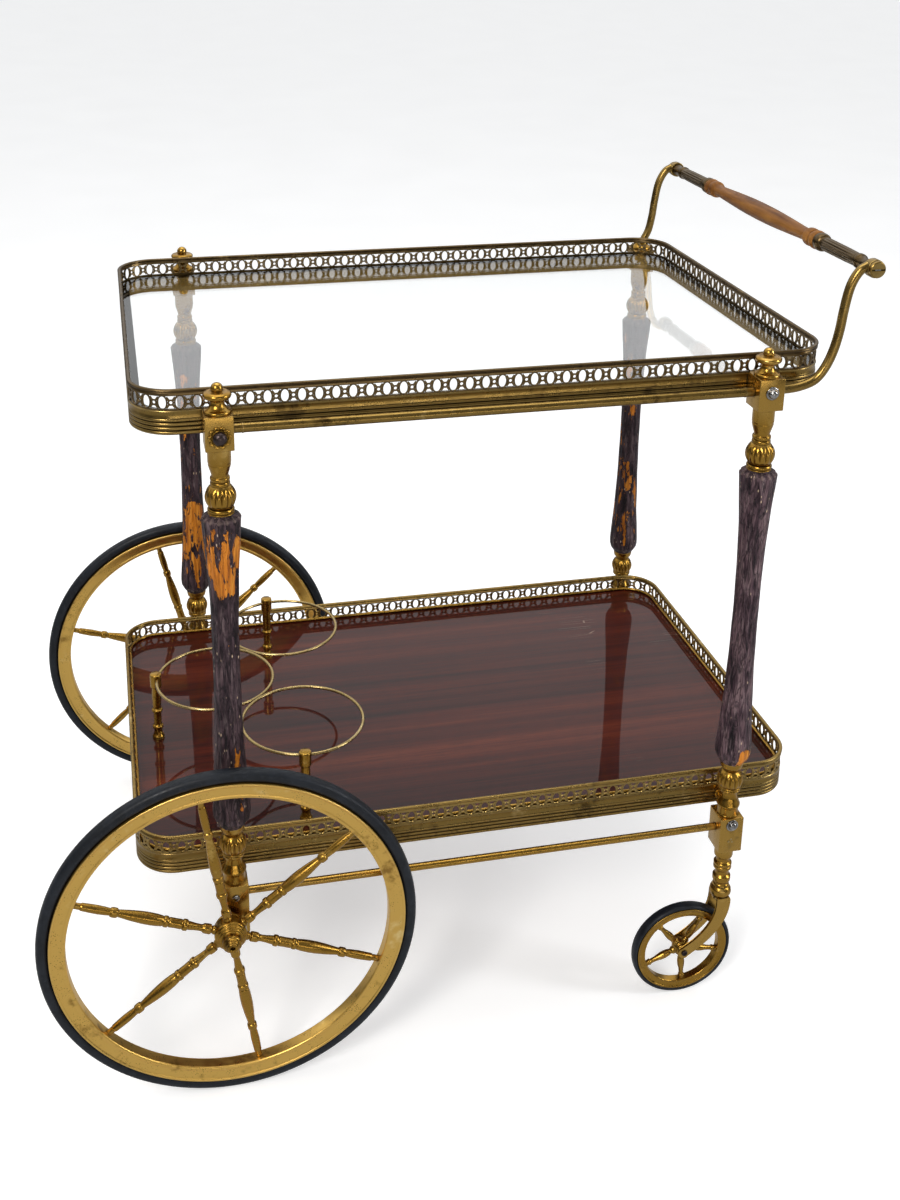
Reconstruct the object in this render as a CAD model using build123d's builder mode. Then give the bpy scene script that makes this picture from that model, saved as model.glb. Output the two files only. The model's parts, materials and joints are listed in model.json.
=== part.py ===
from build123d import *
import os

# Two-tier bar cart: turned legs, pierced brass galleries, two large spoked wheels
# and two swivelling casters. Lengths are millimetres, +X runs to the handle end,
# +Z is up, the near side is -Y, and the floor is Z = 0.
os.makedirs("parts", exist_ok=True)

# ---- driving dimensions ----
leg_left_x = -227.6  # axis of both legs at the wheel end
leg_right_x = 312.6  # axis of the near leg at the handle end
leg_far_right_x = 373.6  # the far leg there stands nearer to the end
leg_y = 252.4  # every leg axis, near and far
block_x = 26.6  # a leg block, along the cart
block_y = 29.0  # and across it

tray_corner_r = 42.0
top_x0 = -306.5
top_x1 = 389.6
top_width = 475.8
top_rim_z = 758.4
low_x0 = -323.9
low_x1 = 401.6
low_width = 457.0
low_rim_z = 271.1

# heights below a tray's rim
rim_depth = 6.0
gallery_foot = 20.7
strip_foot = 28.4
frame_foot = 45.0
reed_count = 4
wall = 3.0
ledge_width = 9.0
glass_thick = 5.0
panel_thick = 8.0

upper_block_z0 = 705.8
upper_block_z1 = 739.1
lower_block_z0 = 188.5
axle_block_z0 = 173.4  # the blocks that hold the axle reach lower
lower_block_z1 = 231.0
wood_z0 = 297.0
wood_z1 = 640.0

rail_z = 722.6
rail_d = 9.5
stretcher_z = 213.8
stretcher_d = 8.0

wheel_x = -235.5
wheel_r = 190.8
wheel_y = 284.4  # mid-plane of the big wheels
wheel_tyre = 12.6  # radial depth of the tyre
wheel_rim = 16.2  # radial depth of the rim
axle_d = 9.0
bore_gap = 0.05  # radial clearance of a turning fit

caster_r = 57.7
caster_trail = 42.4
pin_d = 8.0
caster_axle_d = 6.0

handle_x = 416.0
handle_z = 843.5
handle_rod_d = 6.0

ring_r = 66.0
ring_wire = 3.6
ring_z = 328.0
panel_z = low_rim_z - gallery_foot - 0.3
post_top = 333.5

leg_spots = [
    ("near_left", leg_left_x, -leg_y),
    ("near_right", leg_right_x, -leg_y),
    ("far_left", leg_left_x, leg_y),
    ("far_right", leg_far_right_x, leg_y),
]


# ---- shared shapes ----
def turned(profile):
    """A solid turned about Z from (radius, height) points, top or bottom first."""
    with BuildPart() as body:
        with BuildSketch(Plane.XZ):
            with BuildLine():
                Polyline((0, profile[0][1]), *profile, (0, profile[-1][1]), close=True)
            make_face()
        revolve(axis=Axis.Z)
    return body.part


def tray_path(x0, x1, width, radius, z):
    """The outer edge of a tray, starting at the middle of the near side."""
    w = width / 2
    mid = (x0 + x1) / 2
    with BuildLine(Plane.XY.offset(z)) as edge:
        Line((mid, -w), (x1 - radius, -w))
        CenterArc((x1 - radius, -w + radius), radius, -90, 90)
        Line((x1, -w + radius), (x1, w - radius))
        CenterArc((x1 - radius, w - radius), radius, 0, 90)
        Line((x1 - radius, w), (x0 + radius, w))
        CenterArc((x0 + radius, w - radius), radius, 90, 90)
        Line((x0, w - radius), (x0, -w + radius))
        CenterArc((x0 + radius, -w + radius), radius, 180, 90)
        Line((x0 + radius, -w), (mid, -w))
    return edge.wires()[0]


def tray_profile_plane(x0, x1, width, z):
    """Local x points into the tray and local y up."""
    return Plane(origin=((x0 + x1) / 2, -width / 2, z), x_dir=(0, 1, 0), z_dir=(1, 0, 0))


def tray_frame(x0, x1, width, rim_z, deck_thick):
    """Plain strip above, reeds below, and a ledge inside that carries the deck."""
    reed = (frame_foot - strip_foot) / reed_count
    ledge_z = -(gallery_foot + 0.3 + deck_thick)
    with BuildPart() as body:
        with BuildSketch(tray_profile_plane(x0, x1, width, rim_z)):
            with BuildLine():
                last = (0.8, -gallery_foot)
                Line((wall, -gallery_foot), last)
                Line(last, (0.0, -gallery_foot - 0.8))
                Line((0.0, -gallery_foot - 0.8), (0.0, -strip_foot))
                for i in range(reed_count):
                    top = -strip_foot - i * reed
                    if i == 0:
                        Line((0.0, top), (1.2, top))
                    ThreePointArc((1.2, top), (0.0, top - reed / 2), (1.2, top - reed))
                Line((1.2, -frame_foot), (wall, -frame_foot))
                Line((wall, -frame_foot), (wall, ledge_z - 2.0))
                Line((wall, ledge_z - 2.0), (wall + ledge_width, ledge_z - 2.0))
                Line((wall + ledge_width, ledge_z - 2.0), (wall + ledge_width, ledge_z))
                Line((wall + ledge_width, ledge_z), (wall, ledge_z))
                Line((wall, ledge_z), (wall, -gallery_foot))
            make_face()
        sweep(path=tray_path(x0, x1, width, tray_corner_r, rim_z))
    return body.part


def tray_rim(x0, x1, width, rim_z):
    """A rounded band that caps the gallery."""
    with BuildPart() as body:
        with BuildSketch(tray_profile_plane(x0, x1, width, rim_z)):
            with Locations((1.6, -rim_depth / 2)):
                RectangleRounded(4.4, rim_depth, 1.4)
        sweep(path=tray_path(x0, x1, width, tray_corner_r, rim_z))
    return body.part


gallery_t = 1.6
gallery_in = 0.8  # how far its outer face stands inside the tray's edge
gallery_h = gallery_foot - rim_depth
oval_rx = 3.8
oval_ry = 5.9


def wedges():
    """The corner points of the openings above and below a small round hole."""
    mid = gallery_h / 2
    upper = [(-3.3, mid - 1.2), (-1.1, mid - 3.9), (1.1, mid - 3.9), (3.3, mid - 1.2)]
    lower = [(x, -y) for x, y in reversed(upper)]
    return [upper, lower]


def openings(pitch):
    """The cut-outs of one repeat: a tall oval, a small round hole and two wedges."""
    half = pitch / 2
    Ellipse(oval_rx, oval_ry, mode=Mode.SUBTRACT)
    with Locations((half, 0)):
        Circle(1.35, mode=Mode.SUBTRACT)
    with Locations((half, 0)):
        for corners in wedges():
            Polygon(*corners, align=None, mode=Mode.SUBTRACT)


def straight_run(length, count):
    """One flat run of gallery, centred, its outer face on local y = 0, facing -Y."""
    pitch = length / count
    with BuildPart() as body:
        with BuildSketch(Plane.XZ):
            Rectangle(length, gallery_h)
            spots = [(-length / 2 + pitch * (i + 0.25), 0) for i in range(count)]
            for spot in spots:
                with Locations(spot):
                    openings(pitch)
        extrude(amount=-gallery_t)
    return body.part


def corner_run(count):
    """A quarter turn of gallery about the origin, from -Y round to +X."""
    outer = tray_corner_r - gallery_in
    pitch_deg = 90 / count
    with BuildPart() as body:
        with BuildSketch():
            Circle(outer)
            Circle(outer - gallery_t, mode=Mode.SUBTRACT)
            with Locations((-outer, 0)):
                Rectangle(outer * 2, outer * 4, mode=Mode.SUBTRACT)
            with Locations((0, outer)):
                Rectangle(outer * 4, outer * 2, mode=Mode.SUBTRACT)
        extrude(amount=gallery_h / 2, both=True)
        for i in range(count):
            turn = pitch_deg * (i + 0.25)
            for j in range(2):
                angle = turn + pitch_deg * j / 2
                plane = Plane.XZ.rotated((0, 0, angle)).offset(outer - 6)
                with BuildSketch(plane):
                    if j == 0:
                        Ellipse(oval_rx, oval_ry)
                    else:
                        Circle(1.35)
                        for corners in wedges():
                            Polygon(*corners, align=None)
                extrude(amount=12, mode=Mode.SUBTRACT)
    return body.part


def tray_gallery(x0, x1, width, rim_z, long_count, short_count, corner_count):
    """The pierced gallery: four flat runs and four curved corners."""
    mid = (x0 + x1) / 2
    length = x1 - x0
    z = rim_z - rim_depth - gallery_h / 2
    long_run = straight_run(length - 2 * tray_corner_r, long_count)
    short_run = straight_run(width - 2 * tray_corner_r, short_count)
    corner = corner_run(corner_count)
    y = width / 2 - gallery_in
    x = length / 2 - gallery_in
    cx = length / 2 - tray_corner_r
    cy = width / 2 - tray_corner_r
    with BuildPart() as body:
        add(long_run.moved(Location((mid, -y, z))))
        add(corner.moved(Location((mid + cx, -cy, z))))
        add(short_run.moved(Location((mid + x, 0, z), (0, 0, 90))))
        add(corner.moved(Location((mid + cx, cy, z), (0, 0, 90))))
        add(long_run.moved(Location((mid, y, z), (0, 0, 180))))
        add(corner.moved(Location((mid - cx, cy, z), (0, 0, 180))))
        add(short_run.moved(Location((mid - x, 0, z), (0, 0, 270))))
        add(corner.moved(Location((mid - cx, -cy, z), (0, 0, 270))))
    return body.part


def deck(x0, x1, width, z0, thick):
    """A flat deck with the tray's corners, just inside its wall."""
    inset = wall + 0.3
    with BuildPart() as body:
        with BuildSketch(Plane.XY.offset(z0)):
            with Locations(((x0 + x1) / 2, 0)):
                RectangleRounded(x1 - x0 - 2 * inset, width - 2 * inset, tray_corner_r - inset)
        extrude(amount=thick)
    return body.part


def fluted_ball(radius, z):
    """Shallow slots round the middle of a ball, as cutters."""
    with BuildPart() as body:
        with PolarLocations(radius, 14):
            Box(2.4, 1.0, radius * 0.95)
    return body.part.moved(Location((0, 0, z)))


# ---- top tray ----
with BuildPart() as top_frame:
    add(tray_frame(top_x0, top_x1, top_width, top_rim_z, glass_thick))

with BuildPart() as top_gallery:
    add(tray_gallery(top_x0, top_x1, top_width, top_rim_z, 38, 24, 4))

with BuildPart() as top_gallery_rim:
    add(tray_rim(top_x0, top_x1, top_width, top_rim_z))

with BuildPart() as glass_panel:
    glass_z = top_rim_z - gallery_foot - 0.3 - glass_thick
    add(deck(top_x0, top_x1, top_width, glass_z, glass_thick))

# ---- lower tray ----
with BuildPart() as lower_frame:
    add(tray_frame(low_x0, low_x1, low_width, low_rim_z, panel_thick))

with BuildPart() as lower_gallery:
    add(tray_gallery(low_x0, low_x1, low_width, low_rim_z, 40, 23, 4))

with BuildPart() as lower_gallery_rim:
    add(tray_rim(low_x0, low_x1, low_width, low_rim_z))

with BuildPart() as lower_inner_bead:
    with BuildSketch(tray_profile_plane(low_x0, low_x1, low_width, panel_z)):
        with Locations((wall + 3.4, 2.6)):
            RectangleRounded(5.2, 5.2, 2.0)
    sweep(path=tray_path(low_x0, low_x1, low_width, tray_corner_r, panel_z))

# ---- bottle holder on the lower tray ----
ring_1 = (-225.0, -26.0)
ring_2 = (ring_1[0] + 89.8, ring_1[1] + 101.0)
ring_3 = (ring_1[0] + 86.6, ring_1[1] - 104.0)
post_1 = (ring_1[0] - 66.6, ring_1[1] + 13.5)
post_2 = (ring_2[0] - 11.2, ring_2[1] + 67.0)
post_3 = (ring_3[0] - 7.0, ring_3[1] - 67.6)
post_spots = [post_1, post_2, post_3]
stud_d = 5.0
post_profile = [
    (6.6, post_top),
    (6.6, post_top - 16),
    (5.0, post_top - 17.5),
    (5.2, post_top - 24),
    (5.4, post_top - 32),
    (4.6, post_top - 44),
    (4.6, post_top - 45),
    (6.2, post_top - 46),
    (6.2, post_top - 48.5),
    (4.5, post_top - 49.5),
    (4.5, post_top - 66),
    (6.2, post_top - 67.5),
    (6.2, post_top - 70.5),
    (4.6, post_top - 71.5),
    (4.8, post_top - 76),
    (7.0, post_top - 80),
    (7.0, panel_z),
    (stud_d / 2, panel_z),
    (stud_d / 2, panel_z - panel_thick - 7.5),
]
with BuildPart() as bottle_posts:
    for x, y in post_spots:
        add(turned(post_profile).moved(Location((x, y, 0))))

with BuildPart() as bottle_rings:
    for x, y in (ring_1, ring_2, ring_3):
        with Locations((x, y, ring_z)):
            Torus(ring_r, ring_wire / 2)
    for x, y in post_spots:
        with Locations((x, y, post_top - 8)):
            Cylinder(6.6, 16, mode=Mode.SUBTRACT)

with BuildPart() as lower_panel:
    add(deck(low_x0, low_x1, low_width, panel_z - panel_thick, panel_thick))
    for x, y in post_spots:
        with Locations((x, y, panel_z)):
            Cylinder(stud_d / 2, 40, mode=Mode.SUBTRACT)

with BuildPart() as bottle_post_nuts:
    for x, y in post_spots:
        with BuildSketch(Plane.XY.offset(panel_z - panel_thick - 6.0)):
            with Locations((x, y)):
                RegularPolygon(6.0, 6)
                Circle(stud_d / 2, mode=Mode.SUBTRACT)
        extrude(amount=5.0)
        with BuildSketch(Plane.XY.offset(panel_z - panel_thick - 1.0)):
            with Locations((x, y)):
                Circle(9.0)
                Circle(stud_d / 2, mode=Mode.SUBTRACT)
        extrude(amount=1.0)

# ---- turned legs ----
wood_sections = [
    (wood_z1, 13.2),
    (wood_z1 - 4.2, 19.0),
    (wood_z1 - 8.0, 19.0),
    (wood_z1 - 14.0, 18.4),
    (598.0, 16.8),
    (558.0, 14.4),
    (500.0, 13.0),
    (415.0, 13.4),
    (335.0, 17.2),
    (319.0, 18.6),
    (308.0, 18.6),
    (301.0, 15.6),
    (wood_z0, 12.6),
]
leg_sides = 14


def wooden_leg():
    """A leg with shallow flats all round, widest at its shoulders."""
    with BuildPart() as body:
        for z, r in wood_sections:
            with BuildSketch(Plane.XY.offset(z)):
                RegularPolygon(r, leg_sides)
        loft(ruled=True)
    return body.part


with BuildPart() as leg_near_left:
    add(wooden_leg().moved(Location((leg_left_x, -leg_y, 0))))

with BuildPart() as leg_near_right:
    add(wooden_leg().moved(Location((leg_right_x, -leg_y, 0))))

with BuildPart() as leg_far_left:
    add(wooden_leg().moved(Location((leg_left_x, leg_y, 0))))

with BuildPart() as leg_far_right:
    add(wooden_leg().moved(Location((leg_far_right_x, leg_y, 0))))

# ---- brass turnings on the legs ----
upper_ball_z = 656.0
upper_ball_r = 14.9
lower_ball_z = 274.0
lower_ball_r = 14.0
upper_ferrule_profile = [
    (11.1, upper_block_z0),
    (11.1, 689.0),
    (8.0, 677.4),
    (8.0, 676.4),
    (9.3, 675.8),
    (9.3, 672.2),
    (8.2, 671.6),
    (9.3, 671.0),
    (9.3, 667.6),
    (7.6, 666.8),
    (9.0, 646.0),
    (12.4, 645.2),
    (12.8, 643.8),
    (12.8, 641.0),
    (12.0, wood_z1),
]
lower_ferrule_profile = [
    (12.0, wood_z0),
    (12.0, 290.4),
    (9.6, 287.4),
    (9.0, 266.8),
    (11.6, 266.0),
    (11.6, 262.0),
    (8.6, 261.0),
    (8.2, 256.4),
    (9.2, 251.6),
    (12.2, 244.8),
    (12.7, 243.0),
    (12.4, 241.2),
    (11.5, 240.2),
    (11.4, 234.0),
    (11.2, lower_block_z1),
]
boss_d = 9.0
boss_z = 238.0


def ferrule(profile, ball_z, ball_r):
    """A turned ferrule whose ball has shallow upright slots."""
    with BuildPart() as body:
        add(turned(profile))
        with Locations((0, 0, ball_z)):
            Sphere(ball_r)
        add(fluted_ball(ball_r, ball_z), mode=Mode.SUBTRACT)
    return body.part


with BuildPart() as upper_ferrules:
    upper_ferrule = ferrule(upper_ferrule_profile, upper_ball_z, upper_ball_r)
    for name, x, y in leg_spots:
        add(upper_ferrule.moved(Location((x, y, 0))))

with BuildPart() as lower_ferrules:
    lower_ferrule = ferrule(lower_ferrule_profile, lower_ball_z, lower_ball_r)
    for name, x, y in leg_spots:
        side = 1 if y > 0 else -1
        add(lower_ferrule.moved(Location((x, y, 0))))
        reach = leg_y - low_width / 2
        with Locations((x, y - side * reach / 2, boss_z)):
            Cylinder(boss_d / 2, reach, rotation=(90, 0, 0))


def corner_block(x, y, z0, z1):
    """A solid brass block with its upright edges just broken."""
    with BuildPart() as body:
        with BuildSketch(Plane.XY.offset(z0)):
            with Locations((x, y)):
                RectangleRounded(block_x, block_y, 0.8)
        extrude(amount=z1 - z0)
    return body.part


nut_pin_d = 5.0
nut_z = {"near_left": 719.5, "near_right": 725.0, "far_left": 722.0, "far_right": 722.0}
with BuildPart() as upper_blocks:
    for name, x, y in leg_spots:
        side = 1 if y > 0 else -1
        add(corner_block(x, y, upper_block_z0, upper_block_z1))
        with Locations((x, y + side * block_y / 4, nut_z[name])):
            Cylinder(nut_pin_d / 2, block_y / 2, rotation=(90, 0, 0), mode=Mode.SUBTRACT)

with BuildPart() as lower_blocks_wheel_end:
    for y in (-leg_y, leg_y):
        add(corner_block(leg_left_x, y, axle_block_z0, lower_block_z1))
        with Locations((wheel_x, y, wheel_r)):
            Cylinder(axle_d / 2, block_y, rotation=(90, 0, 0), mode=Mode.SUBTRACT)

with BuildPart() as lower_blocks_handle_end:
    for x, y in ((leg_right_x, -leg_y), (leg_far_right_x, leg_y)):
        add(corner_block(x, y, lower_block_z0, lower_block_z1))

finial_profile = [
    (2.0, 767.9),
    (4.6, 766.0),
    (5.6, 762.8),
    (5.0, 760.4),
    (9.4, 759.8),
    (12.6, 758.2),
    (13.1, 756.6),
    (12.4, 754.4),
    (7.4, 752.6),
    (6.2, 750.6),
    (6.6, 747.4),
    (9.0, 743.6),
    (12.6, 741.6),
    (13.1, 740.6),
    (13.1, upper_block_z1),
]
with BuildPart() as finials:
    for name, x, y in leg_spots[:3]:
        add(turned(finial_profile).moved(Location((x, y, 0))))

# ---- nuts and screws ----
dome_profile = [(1.6, 6.6), (3.6, 5.6), (5.0, 3.8), (5.4, 1.6), (7.0, 1.6), (7.0, 0)]
small_dome_profile = [(1.4, 4.8), (3.4, 3.9), (4.8, 2.3), (5.1, 0.9), (6.9, 0.9), (6.9, 0)]


def side_nut(profile, x, y, z, pin):
    """A domed nut on a block's outer face with its pin going into the block."""
    side = 1 if y > 0 else -1
    with BuildPart() as body:
        add(turned(profile))
        with Locations((0, 0, -pin / 2)):
            Cylinder(nut_pin_d / 2, pin)
    face = y + side * block_y / 2
    return body.part.moved(Location((x, face, z), (90 if side < 0 else -90, 0, 0)))


with BuildPart() as upper_block_nuts:
    for name, x, y in leg_spots[1:]:
        add(side_nut(dome_profile, x, y, nut_z[name], block_y / 2))

with BuildPart() as rosette_nut:
    rosette = [(2.0, 8.4), (5.2, 7.2), (6.6, 4.6), (6.8, 1.8), (9.4, 1.6), (9.4, 0)]
    name, x, y = leg_spots[0]
    add(side_nut(rosette, x, y, nut_z[name], block_y / 2))

with BuildPart() as lower_block_screws:
    for name, x, y in leg_spots:
        side = 1 if y > 0 else -1
        at = 223.0 if x > 0 else 217.5
        face = y + side * block_y / 2
        turn = (90 if side < 0 else -90, 0, 0)
        small = turned(small_dome_profile) if x > 0 else turned([(2.0, 2.0), (3.6, 1.2), (3.8, 0)])
        add(small.moved(Location((x, face, at), turn)))

# ---- rails along the sides ----
with BuildPart() as near_rail:
    near_len = leg_right_x - leg_left_x - block_x
    with Locations(((leg_left_x + leg_right_x) / 2, -leg_y, rail_z)):
        Cylinder(rail_d / 2, near_len, rotation=(0, 90, 0))

with BuildPart() as far_rail:
    far_len = leg_far_right_x - leg_left_x - block_x
    with Locations(((leg_left_x + leg_far_right_x) / 2, leg_y, rail_z)):
        Cylinder(rail_d / 2, far_len, rotation=(0, 90, 0))

with BuildPart() as near_stretcher:
    with Locations(((leg_left_x + leg_right_x) / 2, -leg_y, stretcher_z)):
        Cylinder(stretcher_d / 2, near_len, rotation=(0, 90, 0))

with BuildPart() as far_stretcher:
    with Locations(((leg_left_x + leg_far_right_x) / 2, leg_y, stretcher_z)):
        Cylinder(stretcher_d / 2, far_len, rotation=(0, 90, 0))

# ---- handle ----
arm_upper = [
    (382.6, 764.0),
    (386.2, 782.0),
    (388.2, 800.0),
    (391.4, 820.4),
    (395.4, 832.4),
    (401.6, 841.8),
    (409.4, 846.4),
]
eye_r = 9.4
eye_t = 9.8


def arm(points, start_dir, y):
    """A bent round bar that ends in an eye for the handle's rod."""
    path_points = [(x, y, z) for x, z in points]
    with BuildPart() as body:
        with BuildLine() as path:
            Spline(*path_points, tangents=(start_dir, (1, 0, 0.15)))
        start = Plane(origin=path_points[0], z_dir=start_dir)
        with BuildSketch(start):
            Circle(rail_d / 2)
        sweep(path=path.wires()[0])
        with Locations((handle_x, y, handle_z)):
            Cylinder(eye_r, eye_t, rotation=(90, 0, 0))
            Cylinder(handle_rod_d / 2, eye_t * 4, rotation=(90, 0, 0), mode=Mode.SUBTRACT)
    return body.part


with BuildPart() as near_arm:
    near_points = [
        (leg_right_x + block_x / 2, 723.0),
        (349.2, 725.0),
        (361.8, 729.2),
        (370.0, 736.4),
        (377.2, 748.6),
    ]
    add(arm(near_points + arm_upper, (1, 0, 0), -leg_y))

with BuildPart() as far_arm:
    far_points = [(leg_far_right_x, upper_block_z1 + 4.0), (377.6, 753.0)]
    add(arm(far_points + arm_upper, (0.15, 0, 1), leg_y))

with BuildPart() as far_arm_socket:
    socket_profile = [
        (7.2, 752.0),
        (7.4, 747.0),
        (10.4, 743.2),
        (12.6, 742.0),
        (12.6, upper_block_z1),
    ]
    add(turned(socket_profile).moved(Location((leg_far_right_x, leg_y, 0))))
    add(far_arm.part, mode=Mode.SUBTRACT)

rod_y = leg_y + eye_t / 2 + 3.0
with BuildPart() as handle_rod:
    with Locations((handle_x, 0, handle_z)):
        Cylinder(handle_rod_d / 2, 2 * rod_y, rotation=(90, 0, 0))

grip_profile = [
    (8.0, -141.0),
    (9.8, -139.0),
    (10.2, -135.0),
    (9.6, -131.0),
    (8.2, -129.5),
    (9.6, -128.0),
    (10.0, -123.0),
    (9.4, -118.5),
    (7.2, -116.0),
    (7.0, -111.0),
    (7.6, -90.0),
    (9.4, -55.0),
    (10.3, -20.0),
]
grip_outline = grip_profile + [(r, -h) for r, h in reversed(grip_profile)]
sleeve_profile = [
    (8.0, 141.2),
    (9.6, 143.0),
    (9.9, 147.0),
    (9.0, 151.0),
    (6.6, 153.0),
    (7.4, 155.0),
    (7.6, 205.0),
    (7.0, 222.0),
    (7.8, 224.0),
    (7.8, 228.0),
    (6.2, 230.0),
    (5.6, 238.0),
    (6.6, 241.0),
    (6.6, leg_y - eye_t / 2),
]


def on_handle(profile, flip):
    """A turning threaded on the handle's rod."""
    with BuildPart() as body:
        add(turned(profile))
        Cylinder(handle_rod_d / 2, 900, mode=Mode.SUBTRACT)
    turn = (90, 0, 0) if flip else (-90, 0, 0)
    return body.part.moved(Location((handle_x, 0, handle_z), turn))


with BuildPart() as handle_grip:
    add(on_handle(grip_outline, False))

with BuildPart() as handle_sleeve_far:
    add(on_handle(sleeve_profile, False))

with BuildPart() as handle_sleeve_near:
    add(on_handle(sleeve_profile, True))

with BuildPart() as handle_end_screws:
    eye_out = leg_y + eye_t / 2
    screw_profile = [(7.6, eye_out + 3.8), (8.6, eye_out + 2.6), (8.6, eye_out)]
    for flip in (False, True):
        turn = (90, 0, 0) if flip else (-90, 0, 0)
        add(turned(screw_profile).moved(Location((handle_x, 0, handle_z), turn)))
    for side in (-1, 1):
        with Locations((handle_x, side * (eye_out + 3.6), handle_z)):
            Box(20, 2.0, 1.6, mode=Mode.SUBTRACT)
    add(handle_rod.part, mode=Mode.SUBTRACT)

# ---- axle and big wheels ----
spacer_t = 4.6
hub_y0 = leg_y + block_y / 2 + spacer_t + 0.3
hub_y1 = 298.0
cap_y0 = hub_y1 + 0.3
axle_end = cap_y0 + 4.0
hub_drum_r = 16.6
tyre_in = wheel_r - wheel_tyre
rim_in = tyre_in - wheel_rim
tyre_w = 15.0
rim_w = 17.0
hub_bore = axle_d / 2 + bore_gap

with BuildPart() as axle:
    with Locations((wheel_x, 0, wheel_r)):
        Cylinder(axle_d / 2, 2 * axle_end, rotation=(90, 0, 0))

with BuildPart() as axle_spacers:
    for side in (-1, 1):
        with Locations((wheel_x, side * (leg_y + block_y / 2 + spacer_t / 2), wheel_r)):
            Cylinder(8.5, spacer_t, rotation=(90, 0, 0))
            Cylinder(axle_d / 2, spacer_t, rotation=(90, 0, 0), mode=Mode.SUBTRACT)

cap_profile = [
    (3.0, cap_y0 + 10.0),
    (5.2, cap_y0 + 9.6),
    (5.4, cap_y0 + 8.0),
    (6.6, cap_y0 + 7.6),
    (6.8, cap_y0 + 6.2),
    (9.2, cap_y0 + 5.4),
    (9.9, cap_y0 + 3.6),
    (9.9, cap_y0 + 1.0),
    (9.4, cap_y0),
]
with BuildPart() as hub_caps:
    for flip in (False, True):
        turn = (90, 0, 0) if flip else (-90, 0, 0)
        add(turned(cap_profile).moved(Location((wheel_x, 0, wheel_r), turn)))
    add(axle.part, mode=Mode.SUBTRACT)


def wheel_place(side):
    """Puts a wheel made about the origin, axis Z outward, on its side of the cart."""
    turn = (90, 0, 0) if side < 0 else (-90, 0, 0)
    return Location((wheel_x, 0, wheel_r), turn)


hub_profile = [
    (12.0, hub_y0),
    (14.6, hub_y0 + 1.2),
    (14.6, hub_y0 + 4.0),
    (hub_drum_r, hub_y0 + 5.4),
    (hub_drum_r, wheel_y + 6.6),
    (14.0, wheel_y + 8.0),
    (11.6, wheel_y + 8.6),
    (11.6, hub_y1 - 1.6),
    (10.6, hub_y1),
]
spoke_profile = [
    (4.2, 0.0),
    (4.2, 19.0),
    (3.6, 20.0),
    (5.0, 21.4),
    (5.0, 28.4),
    (3.4, 30.6),
    (3.3, 33.0),
    (4.1, 44.4),
    (5.6, 46.0),
    (5.6, 50.4),
    (4.9, 52.0),
    (4.9, 64.6),
    (5.6, 66.2),
    (5.6, 70.2),
    (5.1, 71.6),
    (6.0, 84.0),
    (5.7, 96.0),
    (3.6, 116.4),
    (4.9, 118.0),
    (4.9, 124.4),
    (3.8, 126.0),
    (4.3, 136.0),
    (3.9, 154.0),
    (3.1, 156.0),
    (3.1, 170.0),
]
spoke_count = 6


def wheel_tyre_part():
    """The tyre: a rounded band outside the rim."""
    with BuildPart() as body:
        with BuildSketch(Plane.XZ):
            with Locations(((tyre_in + wheel_r) / 2, wheel_y)):
                RectangleRounded(wheel_tyre, tyre_w, 5.4)
        revolve(axis=Axis.Z)
        with Locations((0, 0, wheel_y)):
            Cylinder(tyre_in + 0.8, 60, mode=Mode.SUBTRACT)
    return body.part


def wheel_rim_part():
    """The rim: a seat for the tyre, a web and an inner band that holds the spokes."""
    with BuildPart() as body:
        with BuildSketch(Plane.XZ):
            with BuildLine():
                Polyline(
                    (tyre_in + 0.8, wheel_y - 6.4),
                    (tyre_in + 0.8, wheel_y + 6.4),
                    (tyre_in - 0.6, wheel_y + rim_w / 2),
                    (rim_in + 3.6, wheel_y + rim_w / 2 - 2.6),
                    (rim_in, wheel_y + 5.2),
                    (rim_in, wheel_y - 5.2),
                    (rim_in + 3.6, wheel_y - rim_w / 2 + 2.6),
                    (tyre_in - 0.6, wheel_y - rim_w / 2),
                    close=True,
                )
            make_face()
        revolve(axis=Axis.Z)
    return body.part


def wheel_hub_part():
    """The turned hub with its running bore."""
    with BuildPart() as body:
        add(turned(hub_profile))
        Cylinder(hub_bore, 900, mode=Mode.SUBTRACT)
    return body.part


def wheel_spokes_part(first_deg):
    """The turned spokes, trimmed to the hub and the inside of the rim."""
    with BuildPart() as body:
        for i in range(spoke_count):
            angle = first_deg + 360 / spoke_count * i
            spoke = turned(spoke_profile).moved(Location((0, 0, 0), (0, 90, 0)))
            add(spoke.moved(Location((0, 0, wheel_y), (0, 0, angle))))
        with Locations((0, 0, wheel_y)):
            Cylinder(hub_drum_r, 60, mode=Mode.SUBTRACT)
        with BuildSketch(Plane.XY.offset(wheel_y - 30)):
            Circle(rim_in + 30)
            Circle(rim_in, mode=Mode.SUBTRACT)
        extrude(amount=60, mode=Mode.SUBTRACT)
    return body.part


with BuildPart() as wheel_near_tyre:
    add(wheel_tyre_part().moved(wheel_place(-1)))

with BuildPart() as wheel_near_rim:
    add(wheel_rim_part().moved(wheel_place(-1)))

with BuildPart() as wheel_near_hub:
    add(wheel_hub_part().moved(wheel_place(-1)))

with BuildPart() as wheel_near_spokes:
    add(wheel_spokes_part(38.8).moved(wheel_place(-1)))

with BuildPart() as wheel_far_tyre:
    add(wheel_tyre_part().moved(wheel_place(1)))

with BuildPart() as wheel_far_rim:
    add(wheel_rim_part().moved(wheel_place(1)))

with BuildPart() as wheel_far_hub:
    add(wheel_hub_part().moved(wheel_place(1)))

with BuildPart() as wheel_far_spokes:
    add(wheel_spokes_part(-43.6).moved(wheel_place(1)))

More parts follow.
